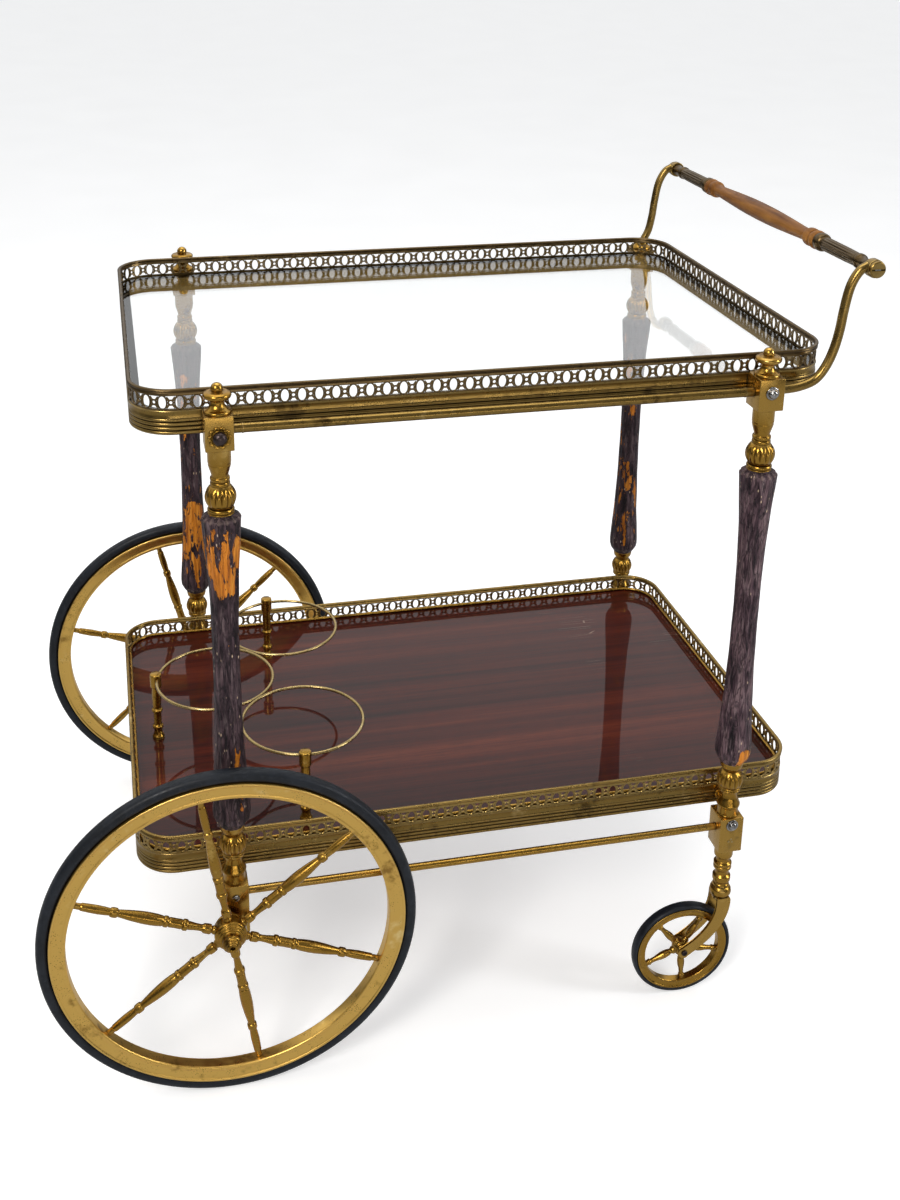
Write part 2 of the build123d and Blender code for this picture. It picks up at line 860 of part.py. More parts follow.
# ---- casters ----
socket_foot = 136.4
head_top = socket_foot - 0.3
pin_top = 164.0
tyre_half = 6.0
arm_gap = 8.4  # inside of each fork arm from the wheel's mid-plane
arm_t = 3.2
caster_tyre_in = 52.4
caster_rim_in = 43.6
caster_spots = [(leg_right_x, -leg_y), (leg_far_right_x, leg_y)]
caster_socket_profile = [
    (10.2, lower_block_z0),
    (10.2, 176.0),
    (7.6, 173.2),
    (7.4, 168.4),
    (9.9, 166.2),
    (9.9, 159.0),
    (7.6, 156.8),
    (7.4, 151.4),
    (9.9, 148.8),
    (9.9, 143.2),
    (7.8, 140.8),
    (7.8, 139.2),
    (9.4, 138.0),
    (9.6, socket_foot),
]
with BuildPart() as caster_sockets:
    for x, y in caster_spots:
        add(turned(caster_socket_profile).moved(Location((x, y, 0))))
        with Locations((x, y, (socket_foot + pin_top + 1.0) / 2 - 5)):
            Cylinder(pin_d / 2 + bore_gap, pin_top + 1.0 - socket_foot + 10, mode=Mode.SUBTRACT)

head_profile = [
    (pin_d / 2, pin_top),
    (pin_d / 2, head_top),
    (9.0, head_top),
    (11.6, 132.0),
    (12.0, 128.0),
    (10.8, 123.6),
    (8.6, 121.4),
    (8.6, 119.0),
]
arm_right = [
    (7.6, 124.0),
    (7.6, 116.0),
    (6.0, 104.0),
    (0.6, 90.0),
    (-8.6, 76.0),
    (-21.0, 63.5),
    (-38.6, 50.6),
]
arm_left = [
    (-46.6, 64.2),
    (-33.4, 73.6),
    (-22.6, 83.6),
    (-14.0, 95.2),
    (-9.2, 106.0),
    (-7.8, 116.0),
    (-7.8, 124.0),
]


def fork(x, y):
    """The swivelling head with its pin, crown and two bowed arms."""
    with BuildPart() as body:
        add(turned(head_profile))
        with Locations((0, 0, 121.5)):
            Box(15.4, 2 * (arm_gap + arm_t), 5.0)
        for side in (-1, 1):
            start = side * arm_gap if side < 0 else side * (arm_gap + arm_t)
            with BuildSketch(Plane.XZ.offset(-start)):
                with BuildLine():
                    Spline(*arm_right)
                    Spline(*arm_left)
                    Line(arm_left[-1], arm_right[0])
                    Line(arm_right[-1], arm_left[0])
                make_face()
                with Locations((-caster_trail, caster_r)):
                    Circle(8.0)
            extrude(amount=arm_t)
        with Locations((-caster_trail, 0, caster_r)):
            Cylinder(caster_axle_d / 2, 60, rotation=(90, 0, 0), mode=Mode.SUBTRACT)
    return body.part.moved(Location((x, y, 0)))


def caster_tyre_part(x, y):
    """The small tyre about its own axle."""
    with BuildPart() as body:
        with BuildSketch(Plane.XZ):
            with Locations(((caster_tyre_in + caster_r) / 2, 0)):
                RectangleRounded(caster_r - caster_tyre_in, 2 * tyre_half, 2.4)
        revolve(axis=Axis.Z)
        Cylinder(caster_tyre_in + 0.6, 60, mode=Mode.SUBTRACT)
    place = Location((x - caster_trail, y, caster_r), (90, 0, 0))
    return body.part.moved(place)


def caster_wheel_part(x, y, first_deg):
    """Rim, five turned spokes and hub in one casting with a running bore."""
    small_spoke = [
        (4.4, 0.0),
        (4.4, 10.0),
        (2.7, 12.5),
        (3.9, 20.0),
        (4.0, 24.0),
        (2.6, 32.0),
        (2.6, 38.0),
        (3.4, 40.0),
        (3.4, caster_rim_in + 2.0),
    ]
    with BuildPart() as body:
        with BuildSketch():
            Circle(caster_tyre_in + 0.6)
            Circle(caster_rim_in, mode=Mode.SUBTRACT)
        extrude(amount=5.4, both=True)
        for i in range(5):
            spoke = turned(small_spoke).moved(Location((0, 0, 0), (0, 90, 0)))
            add(spoke.moved(Location((0, 0, 0), (0, 0, first_deg + 72 * i))))
        Cylinder(9.0, 2 * (arm_gap - 0.4))
        Cylinder(caster_axle_d / 2 + bore_gap, 60, mode=Mode.SUBTRACT)
    place = Location((x - caster_trail, y, caster_r), (90, 0, 0))
    return body.part.moved(place)


def caster_axle_part(x, y):
    """A pin through both arms with a slotted head at each end."""
    end = arm_gap + arm_t
    with BuildPart() as body:
        Cylinder(caster_axle_d / 2, 2 * end + 2)
        with Locations((0, 0, end + 1.4), (0, 0, -end - 1.4)):
            Cylinder(6.0, 2.8)
        with Locations((0, 0, end + 2.8), (0, 0, -end - 2.8)):
            Box(14, 1.4, 1.6, mode=Mode.SUBTRACT)
    place = Location((x - caster_trail, y, caster_r), (90, 0, 0))
    return body.part.moved(place)


with BuildPart() as caster_near_fork:
    add(fork(*caster_spots[0]))

with BuildPart() as caster_near_tyre:
    add(caster_tyre_part(*caster_spots[0]))

with BuildPart() as caster_near_wheel:
    add(caster_wheel_part(*caster_spots[0], 59))

with BuildPart() as caster_near_axle:
    add(caster_axle_part(*caster_spots[0]))

with BuildPart() as caster_far_fork:
    add(fork(*caster_spots[1]))

with BuildPart() as caster_far_tyre:
    add(caster_tyre_part(*caster_spots[1]))

with BuildPart() as caster_far_wheel:
    add(caster_wheel_part(*caster_spots[1], 20))

with BuildPart() as caster_far_axle:
    add(caster_axle_part(*caster_spots[1]))

# ---- names and files ----
top_frame.part.label = "top_frame"
export_step(top_frame.part, "parts/top_frame.step")
top_gallery.part.label = "top_gallery"
export_step(top_gallery.part, "parts/top_gallery.step")
top_gallery_rim.part.label = "top_gallery_rim"
export_step(top_gallery_rim.part, "parts/top_gallery_rim.step")
glass_panel.part.label = "glass_panel"
export_step(glass_panel.part, "parts/glass_panel.step")
lower_frame.part.label = "lower_frame"
export_step(lower_frame.part, "parts/lower_frame.step")
lower_gallery.part.label = "lower_gallery"
export_step(lower_gallery.part, "parts/lower_gallery.step")
lower_gallery_rim.part.label = "lower_gallery_rim"
export_step(lower_gallery_rim.part, "parts/lower_gallery_rim.step")
lower_inner_bead.part.label = "lower_inner_bead"
export_step(lower_inner_bead.part, "parts/lower_inner_bead.step")
bottle_posts.part.label = "bottle_posts"
export_step(bottle_posts.part, "parts/bottle_posts.step")
bottle_rings.part.label = "bottle_rings"
export_step(bottle_rings.part, "parts/bottle_rings.step")
lower_panel.part.label = "lower_panel"
export_step(lower_panel.part, "parts/lower_panel.step")
bottle_post_nuts.part.label = "bottle_post_nuts"
export_step(bottle_post_nuts.part, "parts/bottle_post_nuts.step")
leg_near_left.part.label = "leg_near_left"
export_step(leg_near_left.part, "parts/leg_near_left.step")
leg_near_right.part.label = "leg_near_right"
export_step(leg_near_right.part, "parts/leg_near_right.step")
leg_far_left.part.label = "leg_far_left"
export_step(leg_far_left.part, "parts/leg_far_left.step")
leg_far_right.part.label = "leg_far_right"
export_step(leg_far_right.part, "parts/leg_far_right.step")
upper_ferrules.part.label = "upper_ferrules"
export_step(upper_ferrules.part, "parts/upper_ferrules.step")
lower_ferrules.part.label = "lower_ferrules"
export_step(lower_ferrules.part, "parts/lower_ferrules.step")
upper_blocks.part.label = "upper_blocks"
export_step(upper_blocks.part, "parts/upper_blocks.step")
lower_blocks_wheel_end.part.label = "lower_blocks_wheel_end"
export_step(lower_blocks_wheel_end.part, "parts/lower_blocks_wheel_end.step")
lower_blocks_handle_end.part.label = "lower_blocks_handle_end"
export_step(lower_blocks_handle_end.part, "parts/lower_blocks_handle_end.step")
finials.part.label = "finials"
export_step(finials.part, "parts/finials.step")
upper_block_nuts.part.label = "upper_block_nuts"
export_step(upper_block_nuts.part, "parts/upper_block_nuts.step")
rosette_nut.part.label = "rosette_nut"
export_step(rosette_nut.part, "parts/rosette_nut.step")
lower_block_screws.part.label = "lower_block_screws"
export_step(lower_block_screws.part, "parts/lower_block_screws.step")
near_rail.part.label = "near_rail"
export_step(near_rail.part, "parts/near_rail.step")
far_rail.part.label = "far_rail"
export_step(far_rail.part, "parts/far_rail.step")
near_stretcher.part.label = "near_stretcher"
export_step(near_stretcher.part, "parts/near_stretcher.step")
far_stretcher.part.label = "far_stretcher"
export_step(far_stretcher.part, "parts/far_stretcher.step")
near_arm.part.label = "near_arm"
export_step(near_arm.part, "parts/near_arm.step")
far_arm.part.label = "far_arm"
export_step(far_arm.part, "parts/far_arm.step")
far_arm_socket.part.label = "far_arm_socket"
export_step(far_arm_socket.part, "parts/far_arm_socket.step")
handle_rod.part.label = "handle_rod"
export_step(handle_rod.part, "parts/handle_rod.step")
handle_grip.part.label = "handle_grip"
export_step(handle_grip.part, "parts/handle_grip.step")
handle_sleeve_far.part.label = "handle_sleeve_far"
export_step(handle_sleeve_far.part, "parts/handle_sleeve_far.step")
handle_sleeve_near.part.label = "handle_sleeve_near"
export_step(handle_sleeve_near.part, "parts/handle_sleeve_near.step")
handle_end_screws.part.label = "handle_end_screws"
export_step(handle_end_screws.part, "parts/handle_end_screws.step")
axle.part.label = "axle"
export_step(axle.part, "parts/axle.step")
axle_spacers.part.label = "axle_spacers"
export_step(axle_spacers.part, "parts/axle_spacers.step")
hub_caps.part.label = "hub_caps"
export_step(hub_caps.part, "parts/hub_caps.step")
wheel_near_tyre.part.label = "wheel_near_tyre"
export_step(wheel_near_tyre.part, "parts/wheel_near_tyre.step")
wheel_near_rim.part.label = "wheel_near_rim"
export_step(wheel_near_rim.part, "parts/wheel_near_rim.step")
wheel_near_hub.part.label = "wheel_near_hub"
export_step(wheel_near_hub.part, "parts/wheel_near_hub.step")
wheel_near_spokes.part.label = "wheel_near_spokes"
export_step(wheel_near_spokes.part, "parts/wheel_near_spokes.step")
wheel_far_tyre.part.label = "wheel_far_tyre"
export_step(wheel_far_tyre.part, "parts/wheel_far_tyre.step")
wheel_far_rim.part.label = "wheel_far_rim"
export_step(wheel_far_rim.part, "parts/wheel_far_rim.step")
wheel_far_hub.part.label = "wheel_far_hub"
export_step(wheel_far_hub.part, "parts/wheel_far_hub.step")
wheel_far_spokes.part.label = "wheel_far_spokes"
export_step(wheel_far_spokes.part, "parts/wheel_far_spokes.step")
caster_sockets.part.label = "caster_sockets"
export_step(caster_sockets.part, "parts/caster_sockets.step")
caster_near_fork.part.label = "caster_near_fork"
export_step(caster_near_fork.part, "parts/caster_near_fork.step")
caster_near_tyre.part.label = "caster_near_tyre"
export_step(caster_near_tyre.part, "parts/caster_near_tyre.step")
caster_near_wheel.part.label = "caster_near_wheel"
export_step(caster_near_wheel.part, "parts/caster_near_wheel.step")
caster_near_axle.part.label = "caster_near_axle"
export_step(caster_near_axle.part, "parts/caster_near_axle.step")
caster_far_fork.part.label = "caster_far_fork"
export_step(caster_far_fork.part, "parts/caster_far_fork.step")
caster_far_tyre.part.label = "caster_far_tyre"
export_step(caster_far_tyre.part, "parts/caster_far_tyre.step")
caster_far_wheel.part.label = "caster_far_wheel"
export_step(caster_far_wheel.part, "parts/caster_far_wheel.step")
caster_far_axle.part.label = "caster_far_axle"
export_step(caster_far_axle.part, "parts/caster_far_axle.step")
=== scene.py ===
import json
import math
import random

import bmesh
import bpy
from mathutils import Matrix, Vector


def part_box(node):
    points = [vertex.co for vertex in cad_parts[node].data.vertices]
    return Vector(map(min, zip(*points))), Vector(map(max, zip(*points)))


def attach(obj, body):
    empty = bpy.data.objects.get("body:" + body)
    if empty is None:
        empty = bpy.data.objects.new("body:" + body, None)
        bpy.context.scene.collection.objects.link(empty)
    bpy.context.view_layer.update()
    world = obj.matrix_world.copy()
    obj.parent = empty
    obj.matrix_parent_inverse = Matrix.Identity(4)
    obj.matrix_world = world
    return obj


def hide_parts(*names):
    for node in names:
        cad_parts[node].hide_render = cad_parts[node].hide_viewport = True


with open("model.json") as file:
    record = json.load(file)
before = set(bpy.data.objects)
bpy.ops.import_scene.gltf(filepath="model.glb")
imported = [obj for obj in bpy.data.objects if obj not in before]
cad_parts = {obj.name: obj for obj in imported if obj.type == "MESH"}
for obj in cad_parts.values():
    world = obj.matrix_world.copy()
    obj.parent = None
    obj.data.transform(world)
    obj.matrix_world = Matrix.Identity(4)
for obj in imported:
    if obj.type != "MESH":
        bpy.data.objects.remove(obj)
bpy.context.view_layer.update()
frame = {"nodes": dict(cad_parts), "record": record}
nodes = frame["nodes"]
MM = 0.001
TAU = 2 * math.pi


# ---------------------------------------------------------------- mesh tools
class Shape:
    """Gathers vertices and faces of several parts, in mm, into one piece."""

    def __init__(self):
        self.verts = []
        self.faces = []

    def add(self, verts, faces, place=None):
        base = len(self.verts)
        for p in verts:
            p = Vector(p)
            if place is not None:
                p = place @ p
            self.verts.append((p.x * MM, p.y * MM, p.z * MM))
        self.faces += [tuple(i + base for i in f) for f in faces]
        return self

    def turn(self, profile, segments, place=None, shape=None):
        """Adds a part turned on a lathe."""
        return self.add(*lathe(profile, segments, shape), place)

    def done(self, name, material, node, angle=34, body="cart", slot="aged_brass"):
        """The piece that stands for a CAD node, with edges sharper than angle kept hard."""
        mesh = bpy.data.meshes.new(name)
        mesh.from_pydata(self.verts, [], self.faces)
        mesh.update()
        bm = bmesh.new()
        bm.from_mesh(mesh)
        bmesh.ops.remove_doubles(bm, verts=bm.verts, dist=1e-6)
        bmesh.ops.recalc_face_normals(bm, faces=bm.faces)
        for f in bm.faces:
            f.smooth = True
        for e in bm.edges:
            if len(e.link_faces) == 2 and e.calc_face_angle(0) > math.radians(angle):
                e.smooth = False
        bm.to_mesh(mesh)
        bm.free()
        piece = bpy.data.objects.new(name, mesh)
        bpy.context.scene.collection.objects.link(piece)
        mesh.materials.append(material)
        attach(piece, body)
        if node:
            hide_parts(node)


def rounded(profile, radius=0.5, steps=3, closed=False):
    """The profile with each inner corner turned into a small arc."""
    n = len(profile)
    out = []
    for i, p in enumerate(profile):
        if not closed and i in (0, n - 1):
            out.append(tuple(p))
            continue
        a, b = Vector(profile[i - 1]), Vector(profile[(i + 1) % n])
        p = Vector(p)
        da, db = a - p, b - p
        if min(da.length, db.length) < 1e-6 or da.angle(db) > math.radians(172):
            out.append(tuple(p))
            continue
        cut = min(radius, da.length * 0.45, db.length * 0.45)
        start, end = p + da.normalized() * cut, p + db.normalized() * cut
        for k in range(steps + 1):
            t = k / steps
            q = start * (1 - t) ** 2 + p * 2 * t * (1 - t) + end * t ** 2
            out.append(tuple(q))
    return out


def smooth_curve(points, per=6):
    """A Catmull-Rom curve through the points."""
    pts = [Vector(p) for p in points]
    pts = [pts[0] * 2 - pts[1]] + pts + [pts[-1] * 2 - pts[-2]]
    out = []
    for i in range(1, len(pts) - 2):
        p0, p1, p2, p3 = pts[i - 1 : i + 3]
        for k in range(per):
            t = k / per
            q = 2 * p1 + (p2 - p0) * t + (2 * p0 - 5 * p1 + 4 * p2 - p3) * t * t
            q = (q + (3 * p1 - p0 - 3 * p2 + p3) * t ** 3) / 2
            out.append(tuple(q))
    out.append(tuple(pts[-2]))
    return out


def rows_joined(rows, n):
    """Faces between rows of n points, each row closed."""
    out = []
    for i in range(0, (rows - 1) * n, n):
        for k in range(n):
            m = (k + 1) % n
            out.append((i + k, i + m, i + n + m, i + n + k))
    return out


def rows_in_ring(rows, n):
    """Faces between rows of n points, with the last row joined to the first."""
    out = []
    for i in range(rows):
        j = (i + 1) % rows
        for a in range(n):
            b = (a + 1) % n
            out.append((i * n + a, j * n + a, j * n + b, i * n + b))
    return out


def lathe(profile, segments, shape=None):
    """Verts and faces turned about Z from (radius, z). shape(r, z, angle) may vary r."""
    verts = []
    rows = len(profile)
    for r, z in profile:
        for k in range(segments):
            a = TAU * k / segments
            q = shape(r, z, a) if shape else r
            verts.append((q * math.cos(a), q * math.sin(a), z))
    faces = rows_joined(rows, segments)
    for row, r in ((0, profile[0][0]), (rows - 1, profile[-1][0])):
        if r > 1e-6:
            faces.append(tuple(range(row * segments, (row + 1) * segments)))
    return verts, faces


def ring_lathe(profile, segments):
    """Verts and faces of a closed section turned about Z."""
    verts = []
    for k in range(segments):
        a = TAU * k / segments
        verts += [(r * math.cos(a), r * math.sin(a), z) for r, z in profile]
    return verts, rows_in_ring(segments, len(profile))


def tube(points, radius, around):
    """A round bar along the points, with flat ends."""
    pts = [Vector(p) for p in points]
    verts = []
    last = None
    for i, p in enumerate(pts):
        t = (pts[min(i + 1, len(pts) - 1)] - pts[max(i - 1, 0)]).normalized()
        if last is None:
            side = t.cross(Vector((0, 1, 0)))
        else:
            side = last - t * last.dot(t)
        side.normalize()
        last = side
        up = t.cross(side)
        for k in range(around):
            a = TAU * k / around
            verts.append(p + side * (radius * math.cos(a)) + up * (radius * math.sin(a)))
    faces = rows_joined(len(pts), around)
    faces.append(tuple(range(around)))
    faces.append(tuple(range(len(verts) - around, len(verts))))
    return verts, faces


def circle_section(r, z, radius, count):
    """A closed round section about (r, z)."""
    angles = [TAU * k / count for k in range(count)]
    return [(r + radius * math.cos(a), z + radius * math.sin(a)) for a in angles]


def tyre_section(r, z, half_wide, half_tall, count):
    """A closed section about (r, z): an ellipse with fuller corners."""
    out = []
    for k in range(count):
        c, s = math.cos(TAU * k / count), math.sin(TAU * k / count)
        wide = half_wide * (abs(c) ** 0.8) * (1 if c > 0 else -1)
        tall = half_tall * (abs(s) ** 0.85) * (1 if s > 0 else -1)
        out.append((r + wide, z + tall))
    return out


def mirrored(half, middle=0.0):
    """A closed section from its upper half, given as radius and height over the middle."""
    below = [(r, middle - h) for r, h in reversed(half)]
    return below[-1:] + [(r, middle + h) for r, h in half] + below[:-1]


def both_ways(half):
    """An open profile from its first half, which ends at height 0."""
    return half + [(r, -z) for r, z in reversed(half[:-1])]


def soft_box(sx, sy, sz, edge=0.8, steps=2):
    """A box with rounded edges, centred."""
    bm = bmesh.new()
    bmesh.ops.create_cube(bm, size=1)
    for v in bm.verts:
        v.co = Vector((v.co.x * sx, v.co.y * sy, v.co.z * sz))
    bmesh.ops.bevel(bm, geom=bm.edges[:], offset=edge, segments=steps, affect="EDGES", profile=0.5)
    verts = [tuple(v.co) for v in bm.verts]
    faces = [tuple(v.index for v in f.verts) for f in bm.faces]
    bm.free()
    return verts, faces


def moved(x, y, z=0):
    return Matrix.Translation((x, y, z))


def rotated(degrees, axis):
    return Matrix.Rotation(math.radians(degrees), 4, axis)


def to_y(x, y, z, side):
    """Stands a shape made along +Z out along +Y (side 1) or -Y (side -1)."""
    return moved(x, y, z) @ rotated(-90 * side, "X")


# ---------------------------------------------------------------- node tools
class Mat:
    """A material with short calls for its nodes."""

    def __init__(self, name):
        self.mat = bpy.data.materials.new(name)
        self.mat.use_nodes = True
        self.t = self.mat.node_tree
        self.t.nodes.clear()
        self.out = self.t.nodes.new("ShaderNodeOutputMaterial")
        self.bsdf = self.t.nodes.new("ShaderNodeBsdfPrincipled")
        self.t.links.new(self.bsdf.outputs[0], self.out.inputs[0])
        self.coord = self.t.nodes.new("ShaderNodeTexCoord")

    def put(self, socket, value):
        if isinstance(value, bpy.types.NodeSocket):
            self.t.links.new(value, socket)
        elif value is not None:
            socket.default_value = value

    def set(self, name, value):
        self.put(self.bsdf.inputs[name], value)

    def place(self, scale=(1, 1, 1), offset=(0, 0, 0)):
        """Object coordinates in metres, scaled and moved."""
        m = self.t.nodes.new("ShaderNodeMapping")
        m.inputs["Scale"].default_value = scale
        m.inputs["Location"].default_value = offset
        self.put(m.inputs["Vector"], self.coord.outputs["Object"])
        return m.outputs[0]

    def noise(self, scale, detail=4, rough=0.55, where=None, warp=0.0):
        n = self.t.nodes.new("ShaderNodeTexNoise")
        n.inputs["Scale"].default_value = scale
        n.inputs["Detail"].default_value = detail
        n.inputs["Roughness"].default_value = rough
        n.inputs["Distortion"].default_value = warp
        self.put(n.inputs["Vector"], where or self.coord.outputs["Object"])
        return n.outputs["Fac"]

    def fibres(self, scale, offset, detail, rough, warp=0.0):
        """Noise drawn out along the axes with a small scale."""
        return self.noise(1.0, detail, rough, self.place(scale, offset), warp)

    def cells(self, scale, where=None, feature="F1"):
        n = self.t.nodes.new("ShaderNodeTexVoronoi")
        n.feature = feature
        n.inputs["Scale"].default_value = scale
        self.put(n.inputs["Vector"], where or self.coord.outputs["Object"])
        return n.outputs["Distance"]

    def ramp(self, fac, stops, smooth=False):
        r = self.t.nodes.new("ShaderNodeValToRGB")
        r.color_ramp.interpolation = "EASE" if smooth else "LINEAR"
        els = r.color_ramp.elements
        while len(els) < len(stops):
            els.new(0.5)
        for e, (pos, col) in zip(els, stops):
            e.position = pos
            e.color = (*col, 1) if isinstance(col, tuple) else (col, col, col, 1)
        self.put(r.inputs[0], fac)
        return r.outputs[0]

    def rise(self, fac, low, high):
        """0 up to low, 1 from high."""
        return self.ramp(fac, [(low, 0.0), (high, 1.0)])

    def fall(self, fac, low, high):
        """1 up to low, 0 from high."""
        return self.ramp(fac, [(low, 1.0), (high, 0.0)])

    def mix(self, fac, a, b, kind="MIX"):
        m = self.t.nodes.new("ShaderNodeMix")
        m.data_type = "RGBA"
        m.blend_type = kind
        self.put(m.inputs["Factor"], fac)
        self.put(m.inputs["A"], a if not isinstance(a, tuple) else (*a, 1))
        self.put(m.inputs["B"], b if not isinstance(b, tuple) else (*b, 1))
        return m.outputs["Result"]

    def math(self, op, a, b=None, clamp=False):
        m = self.t.nodes.new("ShaderNodeMath")
        m.operation = op
        m.use_clamp = clamp
        self.put(m.inputs[0], a)
        self.put(m.inputs[1], b)
        return m.outputs[0]

    def add(self, a, b, clamp=False):
        return self.math("ADD", a, b, clamp)

    def sub(self, a, b):
        return self.math("SUBTRACT", a, b)

    def mul(self, a, b):
        return self.math("MULTIPLY", a, b)

    def split(self, vector):
        s = self.t.nodes.new("ShaderNodeSeparateXYZ")
        self.put(s.inputs[0], vector)
        return s.outputs

    def bump(self, height, distance, strength):
        b = self.t.nodes.new("ShaderNodeBump")
        b.inputs["Distance"].default_value = distance
        b.inputs["Strength"].default_value = strength
        self.put(b.inputs["Height"], height)
        self.set("Normal", b.outputs[0])


def ridged(m, low=0.42, high=0.56):
    """0 in recesses, 1 on ridges."""
    g = m.t.nodes.new("ShaderNodeNewGeometry")
    return m.rise(g.outputs["Pointiness"], low, high)


def open_air(m, reach):
    """1 where a surface is open to the air, 0 deep in grooves and corners."""
    ao = m.t.nodes.new("ShaderNodeAmbientOcclusion")
    ao.samples = 16
    ao.inputs["Distance"].default_value = reach
    return m.rise(ao.outputs["AO"], 0.25, 0.95)


def brass(name, light, mid, dark, shade_and_grime, rough, pits=1.0):
    """Aged brass: soft tarnish, recesses darkened by soiling and painted shade, bright ridges, pits and fine
    wear.
    """
    m = Mat(name)
    m.set("Metallic", 1.0)
    blotch = m.noise(34, 5, 0.55, warp=0.3)
    broad = m.noise(9, 3, 0.5, m.place(offset=(3.1, 1.7, 0.4)))
    fleck = m.noise(120, 2, 0.5, m.place(offset=(7.1, 0.7, 2.4)))
    tone = m.add(m.mul(blotch, 0.4), m.mul(broad, 0.35))
    tone = m.add(tone, m.mul(fleck, 0.25))
    base = m.ramp(tone, [(0.34, dark), (0.45, mid), (0.55, mid), (0.68, light)], smooth=True)
    specks = m.cells(520, m.place(offset=(0.3, 0.8, 0.2)))
    patchy = m.noise(48, 3, 0.6, m.place(offset=(5, 2, 8)))
    few = m.rise(patchy, 0.50, 0.60)
    spots = m.mul(m.fall(specks, 0.14, 0.30), few)
    base = m.mix(m.mul(spots, 0.75 * pits), base, tuple(c * 0.3 for c in dark))
    wear = m.rise(ridged(m), 0.70, 1.0)
    base = m.mix(m.mul(wear, 0.35), base, light)
    # Soiling and painted shade: the colour goes towards near black deep in grooves and corners, where the
    # ambient occlusion finds them.
    recess_grime_and_shade = m.mul(m.sub(1.0, open_air(m, 0.0035)), shade_and_grime)
    base = m.mix(recess_grime_and_shade, base, tuple(c * 0.14 for c in dark))
    m.set("Base Color", base)
    rub = m.noise(90, 5, 0.6, m.place(offset=(1, 9, 4)))
    r = m.ramp(rub, [(0.3, rough[0]), (0.7, rough[1])])
    worn = m.add(m.mul(spots, 0.25), m.mul(recess_grime_and_shade, 0.3))
    m.set("Roughness", m.add(r, worn, clamp=True))
    dents = m.noise(45, 2, 0.5)
    h = m.sub(m.mul(dents, 0.8), m.mul(spots, 0.5))
    m.bump(h, 0.0001, 0.22)
    return m.mat


brass_gold = brass(
    "brass_gold", (0.66, 0.43, 0.125), (0.36, 0.198, 0.033), (0.105, 0.056, 0.013), 0.97, (0.18, 0.34)
)
brass_dark = brass(
    "brass_dark", (0.26, 0.18, 0.08), (0.105, 0.068, 0.030), (0.032, 0.022, 0.013), 0.95, (0.22, 0.42)
)
brass_rim = brass(
    "brass_rim", (0.97, 0.72, 0.30), (0.80, 0.50, 0.125), (0.36, 0.20, 0.045), 0.9, (0.26, 0.42), 1.2
)
brass_pale = brass(
    "brass_pale", (0.62, 0.48, 0.24), (0.40, 0.285, 0.115), (0.14, 0.095, 0.038), 0.9, (0.18, 0.36)
)
brass_brown = brass(
    "brass_brown", (0.52, 0.37, 0.15), (0.26, 0.165, 0.045), (0.085, 0.05, 0.015), 0.97, (0.22, 0.36)
)
brass_black = brass(
    "brass_black", (0.11, 0.08, 0.075), (0.05, 0.038, 0.038), (0.02, 0.016, 0.018), 0.7, (0.26, 0.45)
)


def steel_material():
    """Bright plating with dull spots."""
    m = Mat("plated_steel")
    m.set("Metallic", 1.0)
    n = m.noise(140, 4, 0.6)
    m.set("Base Color", m.ramp(n, [(0.3, (0.10, 0.095, 0.09)), (0.62, (0.46, 0.45, 0.44))]))
    m.set("Roughness", m.ramp(m.noise(300, 3), [(0.3, 0.08), (0.7, 0.26)]))
    m.bump(m.noise(500, 2), 0.0001, 0.4)
    return m.mat


def rubber_material():
    """Blue-black rubber with a little dust."""
    m = Mat("tyre_rubber")
    n = m.noise(60, 5, 0.6)
    base = m.ramp(n, [(0.3, (0.003, 0.0042, 0.0065)), (0.7, (0.009, 0.012, 0.018))])
    dust = m.rise(m.noise(210, 4, 0.7), 0.56, 0.78)
    base = m.mix(m.mul(dust, 0.22), base, (0.05, 0.06, 0.075))
    m.set("Base Color", base)
    m.set("Roughness", m.ramp(m.noise(150, 4), [(0.3, 0.36), (0.7, 0.58)]))
    m.set("Specular IOR Level", 0.28)
    m.bump(m.noise(700, 3, 0.6), 0.0002, 0.5)
    return m.mat


def glass_material():
    """Clear glass, faintly smeared."""
    m = Mat("clear_glass")
    m.set("Base Color", (0.985, 0.996, 0.990, 1))
    m.set("Transmission Weight", 1.0)
    m.set("IOR", 1.5)
    m.set("Roughness", m.ramp(m.noise(30, 5, 0.6), [(0.4, 0.0), (0.8, 0.035)]))
    m.bump(m.noise(9, 2), 0.0001, 0.04)
    return m.mat


